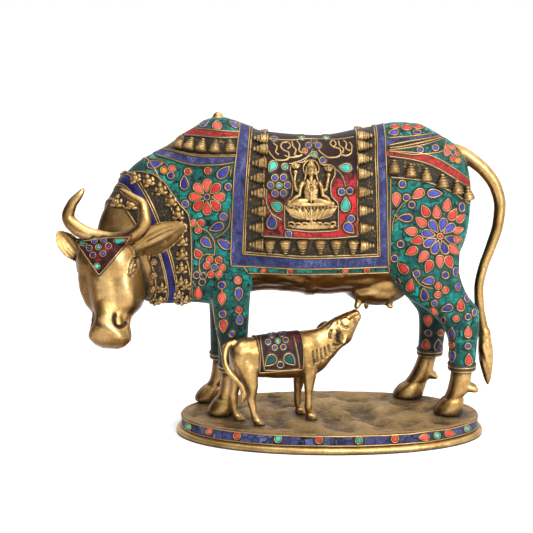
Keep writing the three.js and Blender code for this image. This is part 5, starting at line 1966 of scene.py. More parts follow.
def make_plinth():
    angle = 2 * np.pi * (np.arange(260) + 0.5) / 260
    rows = [
        (-8, 7.6), (-1.4, 7.6), (-1.4, 20.2), (0, 20.4), (0.2, 21.0), (-0.4, 21.7), (-1.6, 22.0),
        (-2.8, 21.7), (-3.8, 21.3),
    ]
    rings = [oval(offset, angle, z) for offset, z in rows]
    for share in np.linspace(0.975, 0.02, 76):
        rings.append(oval(-3.8, angle, 21.2) * (share, share, 1))
    rings = np.array(rings)
    for k in range(len(rows), len(rings)):
        fade = min(1, (k - len(rows) + 1) / 5)
        for p in rings[k]:
            p[2] += fade * mounds(p[0], p[1])
    for k in range(3, len(rows)):
        for p in rings[k]:
            p[2] += 0.6 * noise.noise(Vector((p[0] * 0.05, p[1] * 0.05, 5.0)))
    laid_piece("plinth", Shape().rings(rings), GROUND, ("plinth",), 60)
    foot_rows = [
        (-10, 0), (4.4, 0), (5.3, 0.8), (5.5, 3.4), (5.0, 5.4), (3.6, 6.7), (1.6, 7.3), (0.4, 7.6),
        (-1.6, 7.7), (-10, 7.7),
    ]
    rings = np.array([oval(offset, angle, z) for offset, z in foot_rows])
    for k in range(1, 9):
        for p in rings[k]:
            p[:2] *= 1 + 0.0022 * noise.noise(Vector((p[0] * 0.05, p[1] * 0.05, k * 0.3)))
    laid_piece("plinth_foot", Shape().rings(rings), FOOT, (), 60)
    band_rows = ((-1.6, 7.9), (-0.1, 7.9), (0.05, 14), (-0.1, 20.1), (-1.6, 20.1))
    band = Shape().loop(np.stack([oval(offset, angle, z) for offset, z in band_rows], 1))
    mesh = band.mesh("plinth_band", shift=0)
    skin = Skin(mesh)
    finish_piece("plinth_band", mesh, LAPIS_CHIPS, ("plinth_band",), smooth_angle=50)
    wires = Shape()
    for offset, z, r in ((0.1, 8.7, 0.75), (0.1, 19.5, 0.8)):
        path = oval(offset, angle, z)
        path[:, 2] += [0.55 * noise.noise(Vector((p[0] * 0.05, p[1] * 0.05, 5.0 + z))) for p in path]
        rings = []
        for p in path:
            out = unit(np.append(p[:2] / np.array([OVAL[0], OVAL[1]]) ** 2, 0))
            a = circle(7)
            rings.append(p + r * (np.cos(a)[:, None] * out + np.sin(a)[:, None] * WORLD[2]))
        wires.loop(np.array(rings))
    laid_piece("plinth_wires", wires, WIRE)
    return skin


BAND = make_plinth()

# Stones and wires
chance = random.Random(7)
gems = Gems(chance)
wires = Shape()


def hoop(skin, outline, lift, radius=0.65, into=None, step=1.6, twist=None):
    """Wire up the near flank along an outline, over the back and down the far flank."""
    into = wires if into is None else into
    line = resampled([(x, 0, z) for x, z in outline], step)
    if line[0][2] > line[-1][2]:
        line = line[::-1]
    sides = []
    for y, way in ((-400.0, 1.0), (400.0, -1.0)):
        path = []
        for x, _, z in line:
            found = skin.cast((x, y, z), (0, way, 0))
            if found is None or found[1][2] > 0.9:
                break
            path.append(found)
        sides.append(path)
    near, far = sides
    if not near or not far:
        return
    a, b = near[-1][0], far[-1][0]
    over = []
    for k in np.linspace(0, 1, max(int(abs(b[1] - a[1]) / step), 2) + 1)[1:-1]:
        x, y = a[:2] + (b[:2] - a[:2]) * k
        found = skin.cast((x, y, 500), (0, 0, -1))
        if found is not None and abs(found[0][2] - a[2]) < 25:
            over.append(found)
    path = near + over + far[::-1]
    tube(into, raised(path, lift), radius, 5 if twist is None else 8, twist)
    if twist is None:
        lay_bed(path, 0.7)


def both_lines(skin, rows, radius=0.6, lift=0.3):
    for pixels in rows:
        wire_line(wires, skin, pixels, radius, lift)


# Kinds of stone: drop, round and oval. Each row is a colour, a kind, a spot of the view,
# then a radius, or length, width and turn in degrees
T = "T"
C = "C"
O = "O"


def flower(colour, u, v, reach, long, wide, turns):
    """Drops set round a spot with their points towards it."""
    rows = []
    for turn in turns:
        a = math.radians(turn)
        rows.append((colour, T, u + reach * math.cos(a), v - reach * math.sin(a), long, wide, 180 + turn))
    return rows


def round_stones(colour, radius, spots):
    return [(colour, C, u, v, radius) for u, v in spots]


FORE_STONES = [
    ("lapis", T, 155, 164.2, 15, 7, 10), ("orange", C, 163.8, 170.3, 3), ("coral", C, 172, 168.7, 3),
    ("lapis", C, 170.7, 175.5, 3), ("coral", C, 187.8, 171.7, 3), ("coral", C, 207.8, 170.8, 3),
    ("lapis", T, 223.7, 172, 15, 8, 45), ("lapis", T, 184.3, 182.5, 13, 7.5, 90),
    ("lapis", C, 228.2, 186.8, 3), ("lapis", C, 185.2, 203.8, 3.1), ("lapis", C, 223.5, 216.5, 3.2),
    ("coral", C, 193.3, 223, 2.9), ("coral", C, 200.7, 222.8, 2.9), ("coral", C, 198.2, 230, 2.9),
    ("lapis", T, 216.3, 227.2, 14, 7.5, 200), ("lapis", T, 206.5, 242.8, 12.5, 7.5, -45),
    ("lapis", T, 223.7, 243.8, 14, 7.5, 150), ("coral", T, 197.7, 253.3, 9, 7, 120),
    ("ink", C, 196.5, 275, 3), ("ink", C, 203, 275.8, 3), ("ink", C, 202.2, 282, 3),
    ("coral", C, 237.8, 280.3, 3.1), ("lapis", C, 221.7, 285, 3.3),
    ("lapis", T, 238.7, 294.2, 12, 7, -90), ("coral", T, 198.3, 292.5, 12, 7, 90),
    ("coral", T, 222, 299, 12, 7, -90), ("lapis", C, 222.7, 314, 3),
    ("coral", T, 223.5, 326, 12, 7, -90), ("coral", C, 239, 310, 2.7),
    ("lapis", T, 239.7, 319, 10, 5.5, 90), ("lapis", C, 232, 334, 2.4), ("lapis", C, 226, 347, 2.4),
    ("coral", T, 235, 356, 9, 5.5, 90), ("lapis", C, 214.3, 267, 2.8),
]
FORE_STONES += flower("coral", 207, 197, 11.2, 12.4, 7.6, range(0, 360, 45))
FORE_STONES.append(("lapis", C, 207, 197, 2.6))
FORE_STONES += round_stones("coral", 3.0, [
    (209.7, 259.2), (218.7, 260), (222.2, 267.5), (218.8, 274.2), (210.8, 274.2), (206.7, 265.3),
])
HIND_STONES = [
    ("coral", T, 428.1, 320.7, 11, 7, -90), ("lapis", C, 428.3, 332.9, 2.7),
    ("coral", T, 425.9, 344.3, 10, 7, 90), ("ink", T, 438.1, 345, 11, 7, 90),
    ("coral", C, 440.4, 332.9, 2.4), ("ink", O, 443.4, 320, 3.5, 6, 0),
    ("coral", O, 434.3, 311.6, 4, 9, 40), ("lapis", C, 402.2, 184, 3.2),
    ("coral", T, 417.8, 194.2, 13, 8, 215), ("lapis", T, 435, 193.3, 14, 7.5, 0),
    ("coral", T, 396.3, 199.7, 13, 8, -90), ("lapis", C, 406.3, 197.5, 2.9),
    ("lapis", C, 411.7, 204.7, 2.9), ("lapis", T, 405, 217.8, 14, 7, 180),
    ("coral", C, 440, 236.3, 2.6), ("lapis", O, 461.7, 207, 5, 8, 0), ("lapis", C, 400.5, 244, 3),
    ("lapis", C, 394.5, 258.3, 3), ("lapis", C, 398, 281, 3), ("lapis", C, 416.5, 273.7, 3),
    ("lapis", C, 445.3, 275, 3), ("lapis", O, 455.3, 271.7, 4.5, 8, 0),
    ("lapis", O, 457.8, 286.7, 4.5, 7, 0), ("lapis", O, 466.7, 298.3, 4.6, 6.5, 0),
    ("coral", T, 402.5, 267.8, 13, 8, 135), ("coral", T, 410.3, 285.3, 12, 7, 80),
    ("lapis", T, 428, 280.8, 12, 7, 190), ("lapis", T, 424.2, 294.2, 12, 7, 100),
    ("coral", C, 438.2, 286, 2.9), ("coral", C, 445.2, 290, 2.9), ("coral", C, 437.7, 294.5, 2.9),
    ("lapis", C, 434.3, 303.3, 2.7), ("lapis", T, 446.7, 308.3, 11, 6.5, 200),
    ("coral", T, 460.7, 305, 11, 6.5, 90), ("coral", C, 456, 318.3, 2.7), ("lapis", C, 468, 316.7, 2.7),
    ("lapis", O, 474, 312.3, 3.5, 6, 0), ("coral", T, 468, 331.7, 11, 6, 90),
    ("lapis", C, 468, 346, 2.6), ("coral", T, 468.7, 359.3, 11, 6, 90),
    ("lapis", T, 451.7, 333.3, 11, 6, 90), ("coral", C, 451.7, 345, 2.6),
    ("lapis", T, 452.3, 356.7, 11, 6, -90),
]
HIND_STONES += flower("lapis", 440, 236.3, 11.6, 13.4, 7.4, (123, 77, 40, -15, -70, -112, -150, 168))
for u, v in (
    (425, 210.8), (436.7, 211.7), (447, 204.7), (453, 214.2), (460.8, 218), (458.3, 230),
    (458.5, 239.7), (453.7, 249.7), (449.2, 262.2), (440, 261.7), (428.7, 266.7), (423, 257),
    (411.3, 251.3), (416.7, 240.3), (410.8, 231.2), (420.8, 221.7),
):
    turn = math.degrees(math.atan2(236.3 - v, u - 440))
    HIND_STONES.append(("coral", T, u, v, 12 if u < 455 else 10, 7.6 if u < 455 else 6, turn))
FIELD_STONES = [
    ("turquoise", C, 301.7, 138.3, 2.4), ("turquoise", C, 326, 138, 2.4),
    ("turquoise", C, 314.2, 154.5, 2.6), ("turquoise", C, 284.7, 166.7, 2.8),
    ("lapis", O, 273.7, 139, 6, 4.4, 0), ("lapis", C, 313.8, 141.2, 2.5),
    ("lapis", C, 308.6, 145.4, 2.5), ("lapis", C, 318.2, 145.7, 2.5), ("lapis", C, 322.8, 160.2, 2.7),
    ("coral", C, 304.8, 151, 2.2), ("turquoise", T, 272.2, 166.7, 11.5, 7.4, 240),
    ("turquoise", C, 279, 185.7, 2.6), ("turquoise", T, 276.2, 206.2, 12, 8, 150),
    ("lapis", T, 271.7, 221.2, 14, 9, 90), ("lapis", C, 288.5, 234.2, 3.0),
    ("turquoise", T, 345, 167.8, 12.4, 7.6, 175), ("lapis", C, 341.5, 191.8, 3),
    ("lapis", C, 349.7, 191, 3), ("turquoise", T, 345.5, 204.2, 13.4, 8.4, 90),
    ("lapis", C, 351, 218.8, 3.2), ("lapis", T, 349.2, 228.3, 12.4, 8.4, -45),
]
FIELD_STONES += round_stones("lapis", 2.9, [
    (274.8, 178), (283.5, 177.5), (287.3, 185.2), (283.5, 193), (274.8, 193.2), (270.5, 185.2),
])
CAP_STONES = [
    ("coral", T, 217, 125, 8.6, 8, 90), ("lapis", T, 204.4, 123.6, 9, 5, 30),
    ("lapis", T, 234, 124.4, 9, 5, 150),
]
RUMP_STONES = [
    ("coral", O, 395, 126.7, 9, 3.6, 5), ("coral", O, 406.7, 127.5, 9.6, 5, 0),
    ("coral", O, 418.3, 127.2, 9, 3.6, -4), ("lapis", T, 393.3, 132.6, 9, 5.4, 190),
    ("lapis", O, 416.9, 132.4, 7, 3.6, 0), ("lapis", C, 420.2, 149.9, 2.7),
    ("lapis", C, 435.4, 147.9, 2.7), ("lapis", C, 453, 152.5, 2.4), ("coral", C, 447.5, 147.5, 2.6),
    ("coral", C, 452.6, 147.6, 2.6), ("coral", C, 457.4, 153.8, 2.6), ("orange", C, 458.2, 160.5, 2.6),
    ("coral", C, 453, 158.9, 2.6), ("coral", C, 446.9, 153, 2.6),
]


def set_stones(skin, rows, both=True, high=0.8):
    for colour, kind, u, v, *size in rows:
        long, wide, turn = (size + [0, 0])[:3]
        gems.lay(skin, colour, kind, u, v, long, wide, turn, both, high)


set_stones(SKIN, FORE_STONES)
set_stones(SKIN, HIND_STONES)
set_stones(CLOTH, FIELD_STONES)
set_stones(HUMP, CAP_STONES)
set_stones(RUMP, RUMP_STONES)
HEM_SPOTS = [(263.5, 270.6), (289.7, 271.4), (345.3, 271.2), (367, 270.2)]
set_stones(CLOTH, round_stones("coral", 2.3, HEM_SPOTS))
BROW_STONES = round_stones("lapis", 2.6, [
    (94.5, 241), (104, 240.5), (89.5, 248), (108.5, 246), (93, 255), (103, 253.5),
]) + [
    ("turquoise", C, 98.5, 247.2, 2.5), ("turquoise", T, 82.6, 243.2, 9, 5.6, 180),
    ("turquoise", T, 120, 240.6, 12, 5.6, 12), ("turquoise", C, 97, 266.2, 2.7),
]
set_stones(HEAD_SKIN, BROW_STONES, False, 1.3)
CALF_STONES = round_stones("lapis", 2.3, [
    (268, 342), (285.6, 340), (274.6, 347.6), (283.2, 347), (271.4, 335.4), (281.6, 334.4),
]) + [
    ("turquoise", C, 277.6, 341, 2.2), ("pond", T, 270.2, 360.8, 13, 9.4, 225),
    ("pond", T, 290, 359.8, 13, 9.4, 315), ("ink", C, 280.4, 364.6, 2.8),
]
set_stones(CALF_CLOTH, CALF_STONES)
PLINTH_STONES = [
    ("turquoise", C, 188.5, 427, 3), ("coral", C, 237, 435.8, 3.2), ("turquoise", C, 278, 438.8, 3.2),
    ("coral", C, 319, 439.8, 3.2), ("turquoise", C, 359, 440.4, 3.2), ("coral", C, 395, 438.8, 3.2),
    ("coral", T, 424, 437.4, 10, 6, 180), ("turquoise", C, 437, 435.6, 3),
    ("coral", T, 450, 433.4, 10, 6, 0), ("turquoise", C, 467, 428.6, 2.8),
    ("coral", C, 209, 431.6, 2.8),
]
set_stones(BAND, PLINTH_STONES)

# Wires that edge the panels
both_lines(SKIN, [NECK_EDGE], 0.75)
hoop(SKIN, edge_front, 0.2)
for line in (CLOTH_LEFT, CLOTH_RIGHT, FRAME_LEFT, FRAME_RIGHT, FIELD_LEFT, FIELD_RIGHT):
    hoop(CLOTH, outline_of(line), 0.3)
both_lines(
    CLOTH,
    [
        FRAME_LOW, FIELD_LOW, CLOTH_LOW, HEM_LOW, [(243.8, 266.4), (248.2, 273)],
        [(389, 267), (389, 272.6)],
    ],
    0.65,
)
both_lines(CLOTH, [NICHE + NICHE[:1]], 0.7, 0.35)
both_lines(CLOTH, [[(268, 139), (290, 140.2), (312, 138.8), (334, 139.6), (354, 137)]], 0.6)
both_lines(HUMP, [CORAL_TOP[1:], CORAL_LOW[1:], LAPIS_TOP[1:], LAPIS_LOW[1:]], 0.62)
both_lines(
    RUMP,
    [
        RUMP_LAPIS_TOP[1:-1], RUMP_LAPIS_LOW[1:-1], WEDGE_TOP[1:-1], RUMP_CORAL_TOP[1:],
        RUMP_CORAL_LOW[1:], HIND_TOP[1:],
    ],
    0.62,
)
both_lines(
    SKIN,
    [
        [(390.6, 178.4), (390.4, 200), (389.9, 235), (389.7, 270)],
        [(238, 166), (237, 178), (234.6, 215), (233, 262)],
    ],
    0.62,
)
STEMS_FORE = [
    [(200.8, 227.5), (207, 231), (211.7, 236.7), (214.4, 242), (215, 246.7), (214.2, 255)],
    [(230, 208), (230.4, 216), (229.2, 225), (224, 232), (215, 237.6)],
    [(214.2, 255), (207, 254), (203.3, 255), (200, 259), (199.2, 263.3), (199.2, 272)],
    [(148, 158.4), (154, 158.6), (163.3, 161.7), (168, 166)],
    [(230.6, 176), (231, 168.6)], [(199, 268), (203, 278)], [(222, 288.6), (222, 293.4)],
    [(196.4, 287), (192.4, 281)],
]
STEMS_HIND = [
    [(392.6, 232), (392.6, 224), (394, 218), (397, 211.4), (402, 205), (407, 201)],
    [(411, 196), (409, 199.6)], [(412, 271), (415.4, 278), (420, 284), (426, 287), (433, 288.4)],
    [(398, 217), (393.6, 214.6)], [(398, 217.6), (394, 222)],
]
wire_line(
    wires, SKIN, [(212.4, 298), (213.6, 308), (215, 320), (217.6, 334), (220.4, 346), (222, 355)], 0.6,
    0.35, False,
)
both_lines(SKIN, STEMS_FORE + STEMS_HIND, 0.55)
both_lines(
    RUMP,
    [[
        (390, 151), (402, 153), (414, 154.6), (427, 153.6), (437, 152.6), (443, 151), (445.4, 146),
        (446, 141),
    ]],
    0.6,
)
both_lines(CLOTH, [
    [(266.6, 189), (266, 199), (269, 210), (275, 216), (282, 220)],
    [(322, 165), (331, 167.4), (338, 171), (343, 178), (345.4, 187)], [(345.4, 196), (345.4, 198)],
    [(313, 149), (309.6, 154.6), (303, 159.6), (296, 162.4), (288.6, 164)],
], 0.55)
SCROLLS = [
    [
        (268, 151), (271.6, 156), (277, 160.4), (284, 160.6), (289, 157.4), (288.6, 153),
        (283.6, 150.6), (280.6, 146.8), (283, 143), (288, 142.6),
    ],
    [(288, 142.6), (290.6, 146.4), (287, 149.6)],
    [(291.6, 141.6), (293, 147), (296, 150.6), (294.2, 155.4), (299, 156.8)],
    [(296.4, 141.4), (299.6, 145.6), (298.8, 151), (302.4, 153.6)],
    [(284, 155.6), (290, 157.8), (297.4, 157), (302.4, 155)],
    [
        (318, 150.4), (322.6, 154.6), (329.4, 158), (337, 157.4), (341, 153.6), (339.2, 149),
        (333.6, 147.6), (330, 143.6), (333.4, 140.6),
    ],
    [(333.4, 140.6), (336, 144.6), (333, 148)],
    [(338.6, 141.6), (339.4, 146), (343.6, 149.6), (342.4, 153.6)],
    [(343.6, 141), (346.6, 144.4), (345.6, 149), (350.4, 151)],
    [(340.4, 155), (346, 156), (351.6, 152.6), (352, 146.6), (349, 142.6)],
    [(272.6, 143.6), (277, 147.4), (275.4, 152.6), (279, 155)],
]
both_lines(CLOTH, SCROLLS, 1.1, 0.5)
plate_edge = [
    (76.4, 241), (104, 238), (130.6, 236.8), (115.6, 256), (99.2, 275), (87, 257.4), (76.4, 241),
]
for line in (plate_edge[:3], plate_edge[2:5], plate_edge[4:]):
    lay_wire(wires, near_path(HEAD_SKIN, line, 1), 0.65, 1.0)
for at in (13.66, 14.02):
    ring = trunk_ring(at, 0.9, 160) + STANDING
    tube(wires, closed(ring), 0.7, 6)


def calf_wire(spots, way):
    """Wire on one side of the calf's cloth along spots in its length and height."""
    path = []
    for x, z in spots:
        start = calf_point(x, -30 * way, z) + STANDING
        found = CALF_CLOTH.cast(start, unit(calf_point(0, way, 0) - calf_point(0, 0, 0)))
        if found is not None:
            path.append(found[0] + 0.3 * found[1])
    if len(path) > 2:
        tube(wires, path, 0.55, 6)


for x in (back + 0.4, front - 0.4):
    for way in (1, -1):
        calf_wire([(x, z) for z in np.arange(low + 0.4, 97, 1.0)], way)
for way in (1, -1):
    calf_wire([(x, low + 0.5) for x in np.arange(back + 0.4, front - 0.3, 1.0)], way)

# Wires round the cuffs of the inlaid legs
for rows in COW_LEGS:
    _, near_x, far_x, my, half = through([-r[0] for r in rows], rows, [-54.4])[0]
    out, up = rounded(circle(64), 2.2)
    x = (near_x + far_x) / 2 + up * ((far_x - near_x) / 2 + 1.0)
    ring = closed(np.stack([x, my + out * (half + 1.0), np.full(64, 54.6)], 1) + STANDING)
    tube(wires, ring, 1.1, 8)
    tube(wires, ring - (0, 0, 4.2), 0.7, 8)
    tube(BEDS, ring + (0, 0, 1.9), 1.5, 10)
    tube(BEDS, ring - (0, 0, 2.2), 1.2, 10)

for pixels in (
    [(260.4, 337), (261.2, 346), (262.6, 357), (264.6, 370.4)],
    [(264.6, 370.4), (283, 370.6), (299.6, 368.8)],
    [(293.6, 335), (296, 346), (298.4, 358), (299.6, 368.8)],
):
    wire_line(wires, CALF_CLOTH, pixels, 0.6, 0.3, False)

gems.build("stone")
laid_piece("panel_wires", wires, WIRE)
laid_piece("wire_beds", BEDS, MASTIC)

# Cast bells, ropes and knobs
cast = Shape()
LEFT_BELLS = [
    (260, 140.8), (260, 150.8), (259, 164.2), (257.5, 178.3), (258.3, 193), (259, 210.8), (256.7, 227),
    (256.7, 243.7),
]
RIGHT_BELLS = [
    (365.3, 138.3), (365, 147.5), (364.7, 160), (365.3, 174.7), (365.3, 192.2), (365.8, 210.3),
    (366.2, 227.5), (366.7, 245),
]
LOW_BELLS = [(270, 246.7), (285.5, 246.7), (302.5, 246.7), (320.3, 246.7), (335.8, 246.7), (353, 246.7)]
HUMP_BELLS = [(181.4, 143.6), (191.4, 144.6), (203, 145.8), (216, 146.8), (229.9, 146.9)]
RUMP_BELLS = [(394, 167.2), (410.4, 170.6), (425.7, 174.9), (442, 181.2), (456, 187.6), (466.4, 193.6)]


def bells(skin, spots, up, long, wide):
    for u, v in spots:
        near = seen(skin, u, v)
        bell(cast, near, up, long, wide)
        bell(cast, opposite(skin, near[0]), up, long, wide)


bells(GROUND_SKIN, LEFT_BELLS, -WORLD[0], 16.4, 13.8)
bells(GROUND_SKIN, RIGHT_BELLS, WORLD[0], 16.4, 13.8)
bells(GROUND_SKIN, LOW_BELLS, -UP, 15.6, 13.6)
bells(HUMP, HUMP_BELLS, UP, 14.8, 13.4)
bells(RUMP, RUMP_BELLS, UP, 15.4, 13.6)


def ropes(skin, rows, radius=1.0, lift=0.5, twist=1.4):
    for pixels in rows:
        path = near_path(skin, pixels, 0.7)
        for spots in (path, far_path(skin, path)):
            tube(cast, raised(spots, lift), radius, 8, twist)


ropes(GROUND_SKIN, [[(244.9, 251.6), (274, 253.9), (307.3, 256.2), (340.7, 255.4), (377.6, 254)]])
rope_left = outline_of([(u + 2.0, v) for u, v in FRAME_LEFT])
rope_right = outline_of([(u - 2.0, v) for u, v in FRAME_RIGHT])
hoop(GROUND_SKIN, rope_left, 0.5, 0.95, cast, 0.8, 1.4)
hoop(GROUND_SKIN, rope_right, 0.5, 0.95, cast, 0.8, 1.4)
ropes(
    HUMP, [[(168, 149.2), (178, 151.2), (192, 154.2), (206, 155.2), (222, 155.2), (236, 154.8)]], 0.9,
    0.2,
)
ropes(RUMP, [[(389.6, 148.2), (402, 146.6), (418, 143.4), (432, 140.2), (441, 138)]], 1.2, 0.0, 0.9)


FIGURE = [
    (0, -0.15, 0.25, 1.0, 1.0, 0.85), (0, 1.0, 0.45, 0.62, 0.62, 0.6),
    (-0.75, -0.9, 0.2, 0.85, 0.5, 0.65), (0.75, -0.9, 0.2, 0.85, 0.5, 0.65),
    (-1.0, 0.2, 0.15, 0.5, 0.75, 0.55), (1.0, 0.2, 0.15, 0.5, 0.75, 0.55),
    (0, -0.1, 1.0, 0.4, 0.42, 0.35), (0, 1.55, 0.3, 0.36, 0.36, 0.36),
]
BEAD = [(0, 0, 0.2, 1.05, 1.05, 0.9), (0, 0, 1.05, 0.3, 0.3, 0.25)]
BEAD += [(0.62 * math.cos(a), 0.62 * math.sin(a), 0.78, 0.3, 0.3, 0.28) for a in np.arange(6) * math.pi / 3]


def figure(spot, size, lean=0.0, parts=FIGURE):
    """Small seated figure in low relief: knees, body, arms, head and topknot."""
    point, normal = spot
    side = unit(np.cross(UP, normal))
    rise = np.cross(normal, side)
    c, s = math.cos(lean), math.sin(lean)
    side, rise = c * side + s * rise, c * rise - s * side
    axes = np.array([side, rise, normal])
    for across, up, out, a, b, c in parts:
        shake = chance.uniform(0.88, 1.12)
        centre = point + size * (across * side + up * rise + (out - 0.1) * normal)
        ball(cast, centre, axes, (a * size * shake, b * size, c * size), 10, 6)


def trunk_spot(at, angle):
    """Spot and outward normal of the trunk at a station and an angle."""
    ring = trunk_ring(at, 0.3, angles=[angle - 0.02, angle, angle + 0.02])
    next_ring = trunk_ring(at + 0.05, 0.3, angles=[angle])
    normal = unit(np.cross(ring[2] - ring[0], next_ring[0] - ring[1]))
    row = trunk_row(at)
    if normal.dot(ring[1] - np.array([ring[1][0], row[5], (row[1] + row[3]) / 2])) < 0:
        normal = -normal
    return ring[1] + STANDING, normal


def trunk_place(point):
    """Station and angle of the trunk nearest a point of the near flank."""
    best = (1e9, 0, 0)
    angles = np.arange(0, 2 * np.pi, 0.04)
    for at in np.arange(12.3, 15.2, 0.05):
        gap = np.linalg.norm(trunk_ring(at, 0.3, angles=angles) + STANDING - point, axis=1)
        k = int(gap.argmin())
        if gap[k] < best[0]:
            best = (gap[k], at, angles[k])
    return best[1:]


KNOBS = [
    (136, 178.6, 4.4, 0.5), (149, 181.6, 4.6, 0.35), (161, 190, 4.6, 0.2), (171, 201, 4.6, 0.1),
    (178, 214, 4.6, 0), (181.6, 227, 4.3, 0), (182, 240.6, 4.4, 0), (181.8, 254.4, 4.4, 0),
    (181.4, 268, 4.4, 0), (180.6, 281.6, 4.4, 0), (178.6, 294, 4.0, 0), (153.6, 261.6, 4.3, 0),
    (153.6, 275, 4.3, 0), (152.8, 288.4, 4.3, 0), (150.6, 248.4, 3.8, 0), (145.4, 231, 3.6, 0.2),
]
for u, v, size, lean in KNOBS:
    parts = BEAD if u < 156 and v > 220 else FIGURE
    spot = seen(NECK, u, v)
    figure(spot, size, lean, parts)
    at, angle = trunk_place(spot[0])
    figure(trunk_spot(at, -angle), size, -lean, parts)
    if u > 160:
        figure(opposite(NECK, spot[0]), size, -lean)
for k in range(5):
    figure(trunk_spot(13.15, math.pi + 0.42 * (k - 2)), 4.3)
    figure(trunk_spot(14.45, math.pi + 0.42 * (k - 2)), 4.0)
for u, v, size in ((117.6, 202, 4.6), (132, 204.6, 4.4), (145, 212, 3.8)):
    figure(seen(SKIN, u, v), size)
for at, r in ((13.56, 1.1), (12.82, 1.0), (14.12, 1.0), (14.84, 1.3)):
    ring = trunk_ring(at, 0.4, 160) + STANDING
    tube(cast, closed(ring), r, 8, 1.2)
laid_piece("cast_ornament", cast, CARVED)


# The goddess in her niche: built flat in spots of the view, then laid on the cloth
MIDDLE = (312.0, 195.0)
PIXEL = 1.105
RELIEF_GRID = 0.42
RELIEF_SHARE = 0.3


class Relief:
    """Low relief built flat, in spots of the view and heights above the cloth."""

    def __init__(self):
        self.shape = Shape()

    def at(self, u, v, h=0.0):
        return np.array([(u - MIDDLE[0]) * PIXEL, -h, (MIDDLE[1] - v) * PIXEL])

    def lump(self, u, v, h, ru, rv, rh, turn=0.0, around=20, levels=12):
        a = math.radians(turn)
        axes = np.array([(math.cos(a), 0, math.sin(a)), (-math.sin(a), 0, math.cos(a)), (0, -1, 0)])
        ball(self.shape, self.at(u, v, h), axes, (ru * PIXEL, rv * PIXEL, rh), around, levels)

    def stroke(self, spots, radii, sides=10):
        points = np.array([self.at(*s) for s in spots])
        keys = lengths_along(points)
        wanted = np.linspace(0, keys[-1], max(int(keys[-1] / 0.6), 4) + 1)
        radii = np.interp(wanted, keys, np.broadcast_to(radii, len(points)))
        points = through(keys, points, wanted)
        for k, r in ((0, radii[0]), (-1, radii[-1])):
            ball(self.shape, points[k], WORLD, (r, r, r), 10, 8)
        self.shape.rings(sweep_rings(points, radii, sides))

    def petal(self, u, v, long, wide, turn, h, high):
        """Pointed petal with a raised rim and a keel; its tip lies along the turn."""
        a = math.radians(turn)
        way, side = np.array([math.cos(a), math.sin(a)]), np.array([-math.sin(a), math.cos(a)])
        rings = []
        for k in np.linspace(0, 1, 12):
            half = wide / 2 * (math.sin(math.pi * min(k * 0.92 + 0.08, 1)) ** 0.7) * (1 - 0.25 * k) + 0.05
            ring = []
            for b in circle(14):
                across = half * math.cos(b)
                arch = 0.25 + 0.75 * math.sin(math.pi * (0.15 + 0.8 * k))
                keel = 0.55 + 0.45 * abs(math.cos(b)) ** 2
                lift = h + high * arch * keel * (1 if math.sin(b) > 0 else -0.6)
                if math.sin(b) > 0 and abs(math.cos(b)) < 0.25:
                    lift += 0.3 * high
                spot = np.array([u, -v]) + way * (k - 0.5) * long + side * across
                ring.append(self.at(spot[0], -spot[1], lift))
            rings.append(ring)
        self.shape.rings(rings)


def beside(sign, rows, middle=311):
    """Spots to the left or right of a middle line."""
    return [(middle + sign * x, v, h) for x, v, h in rows]


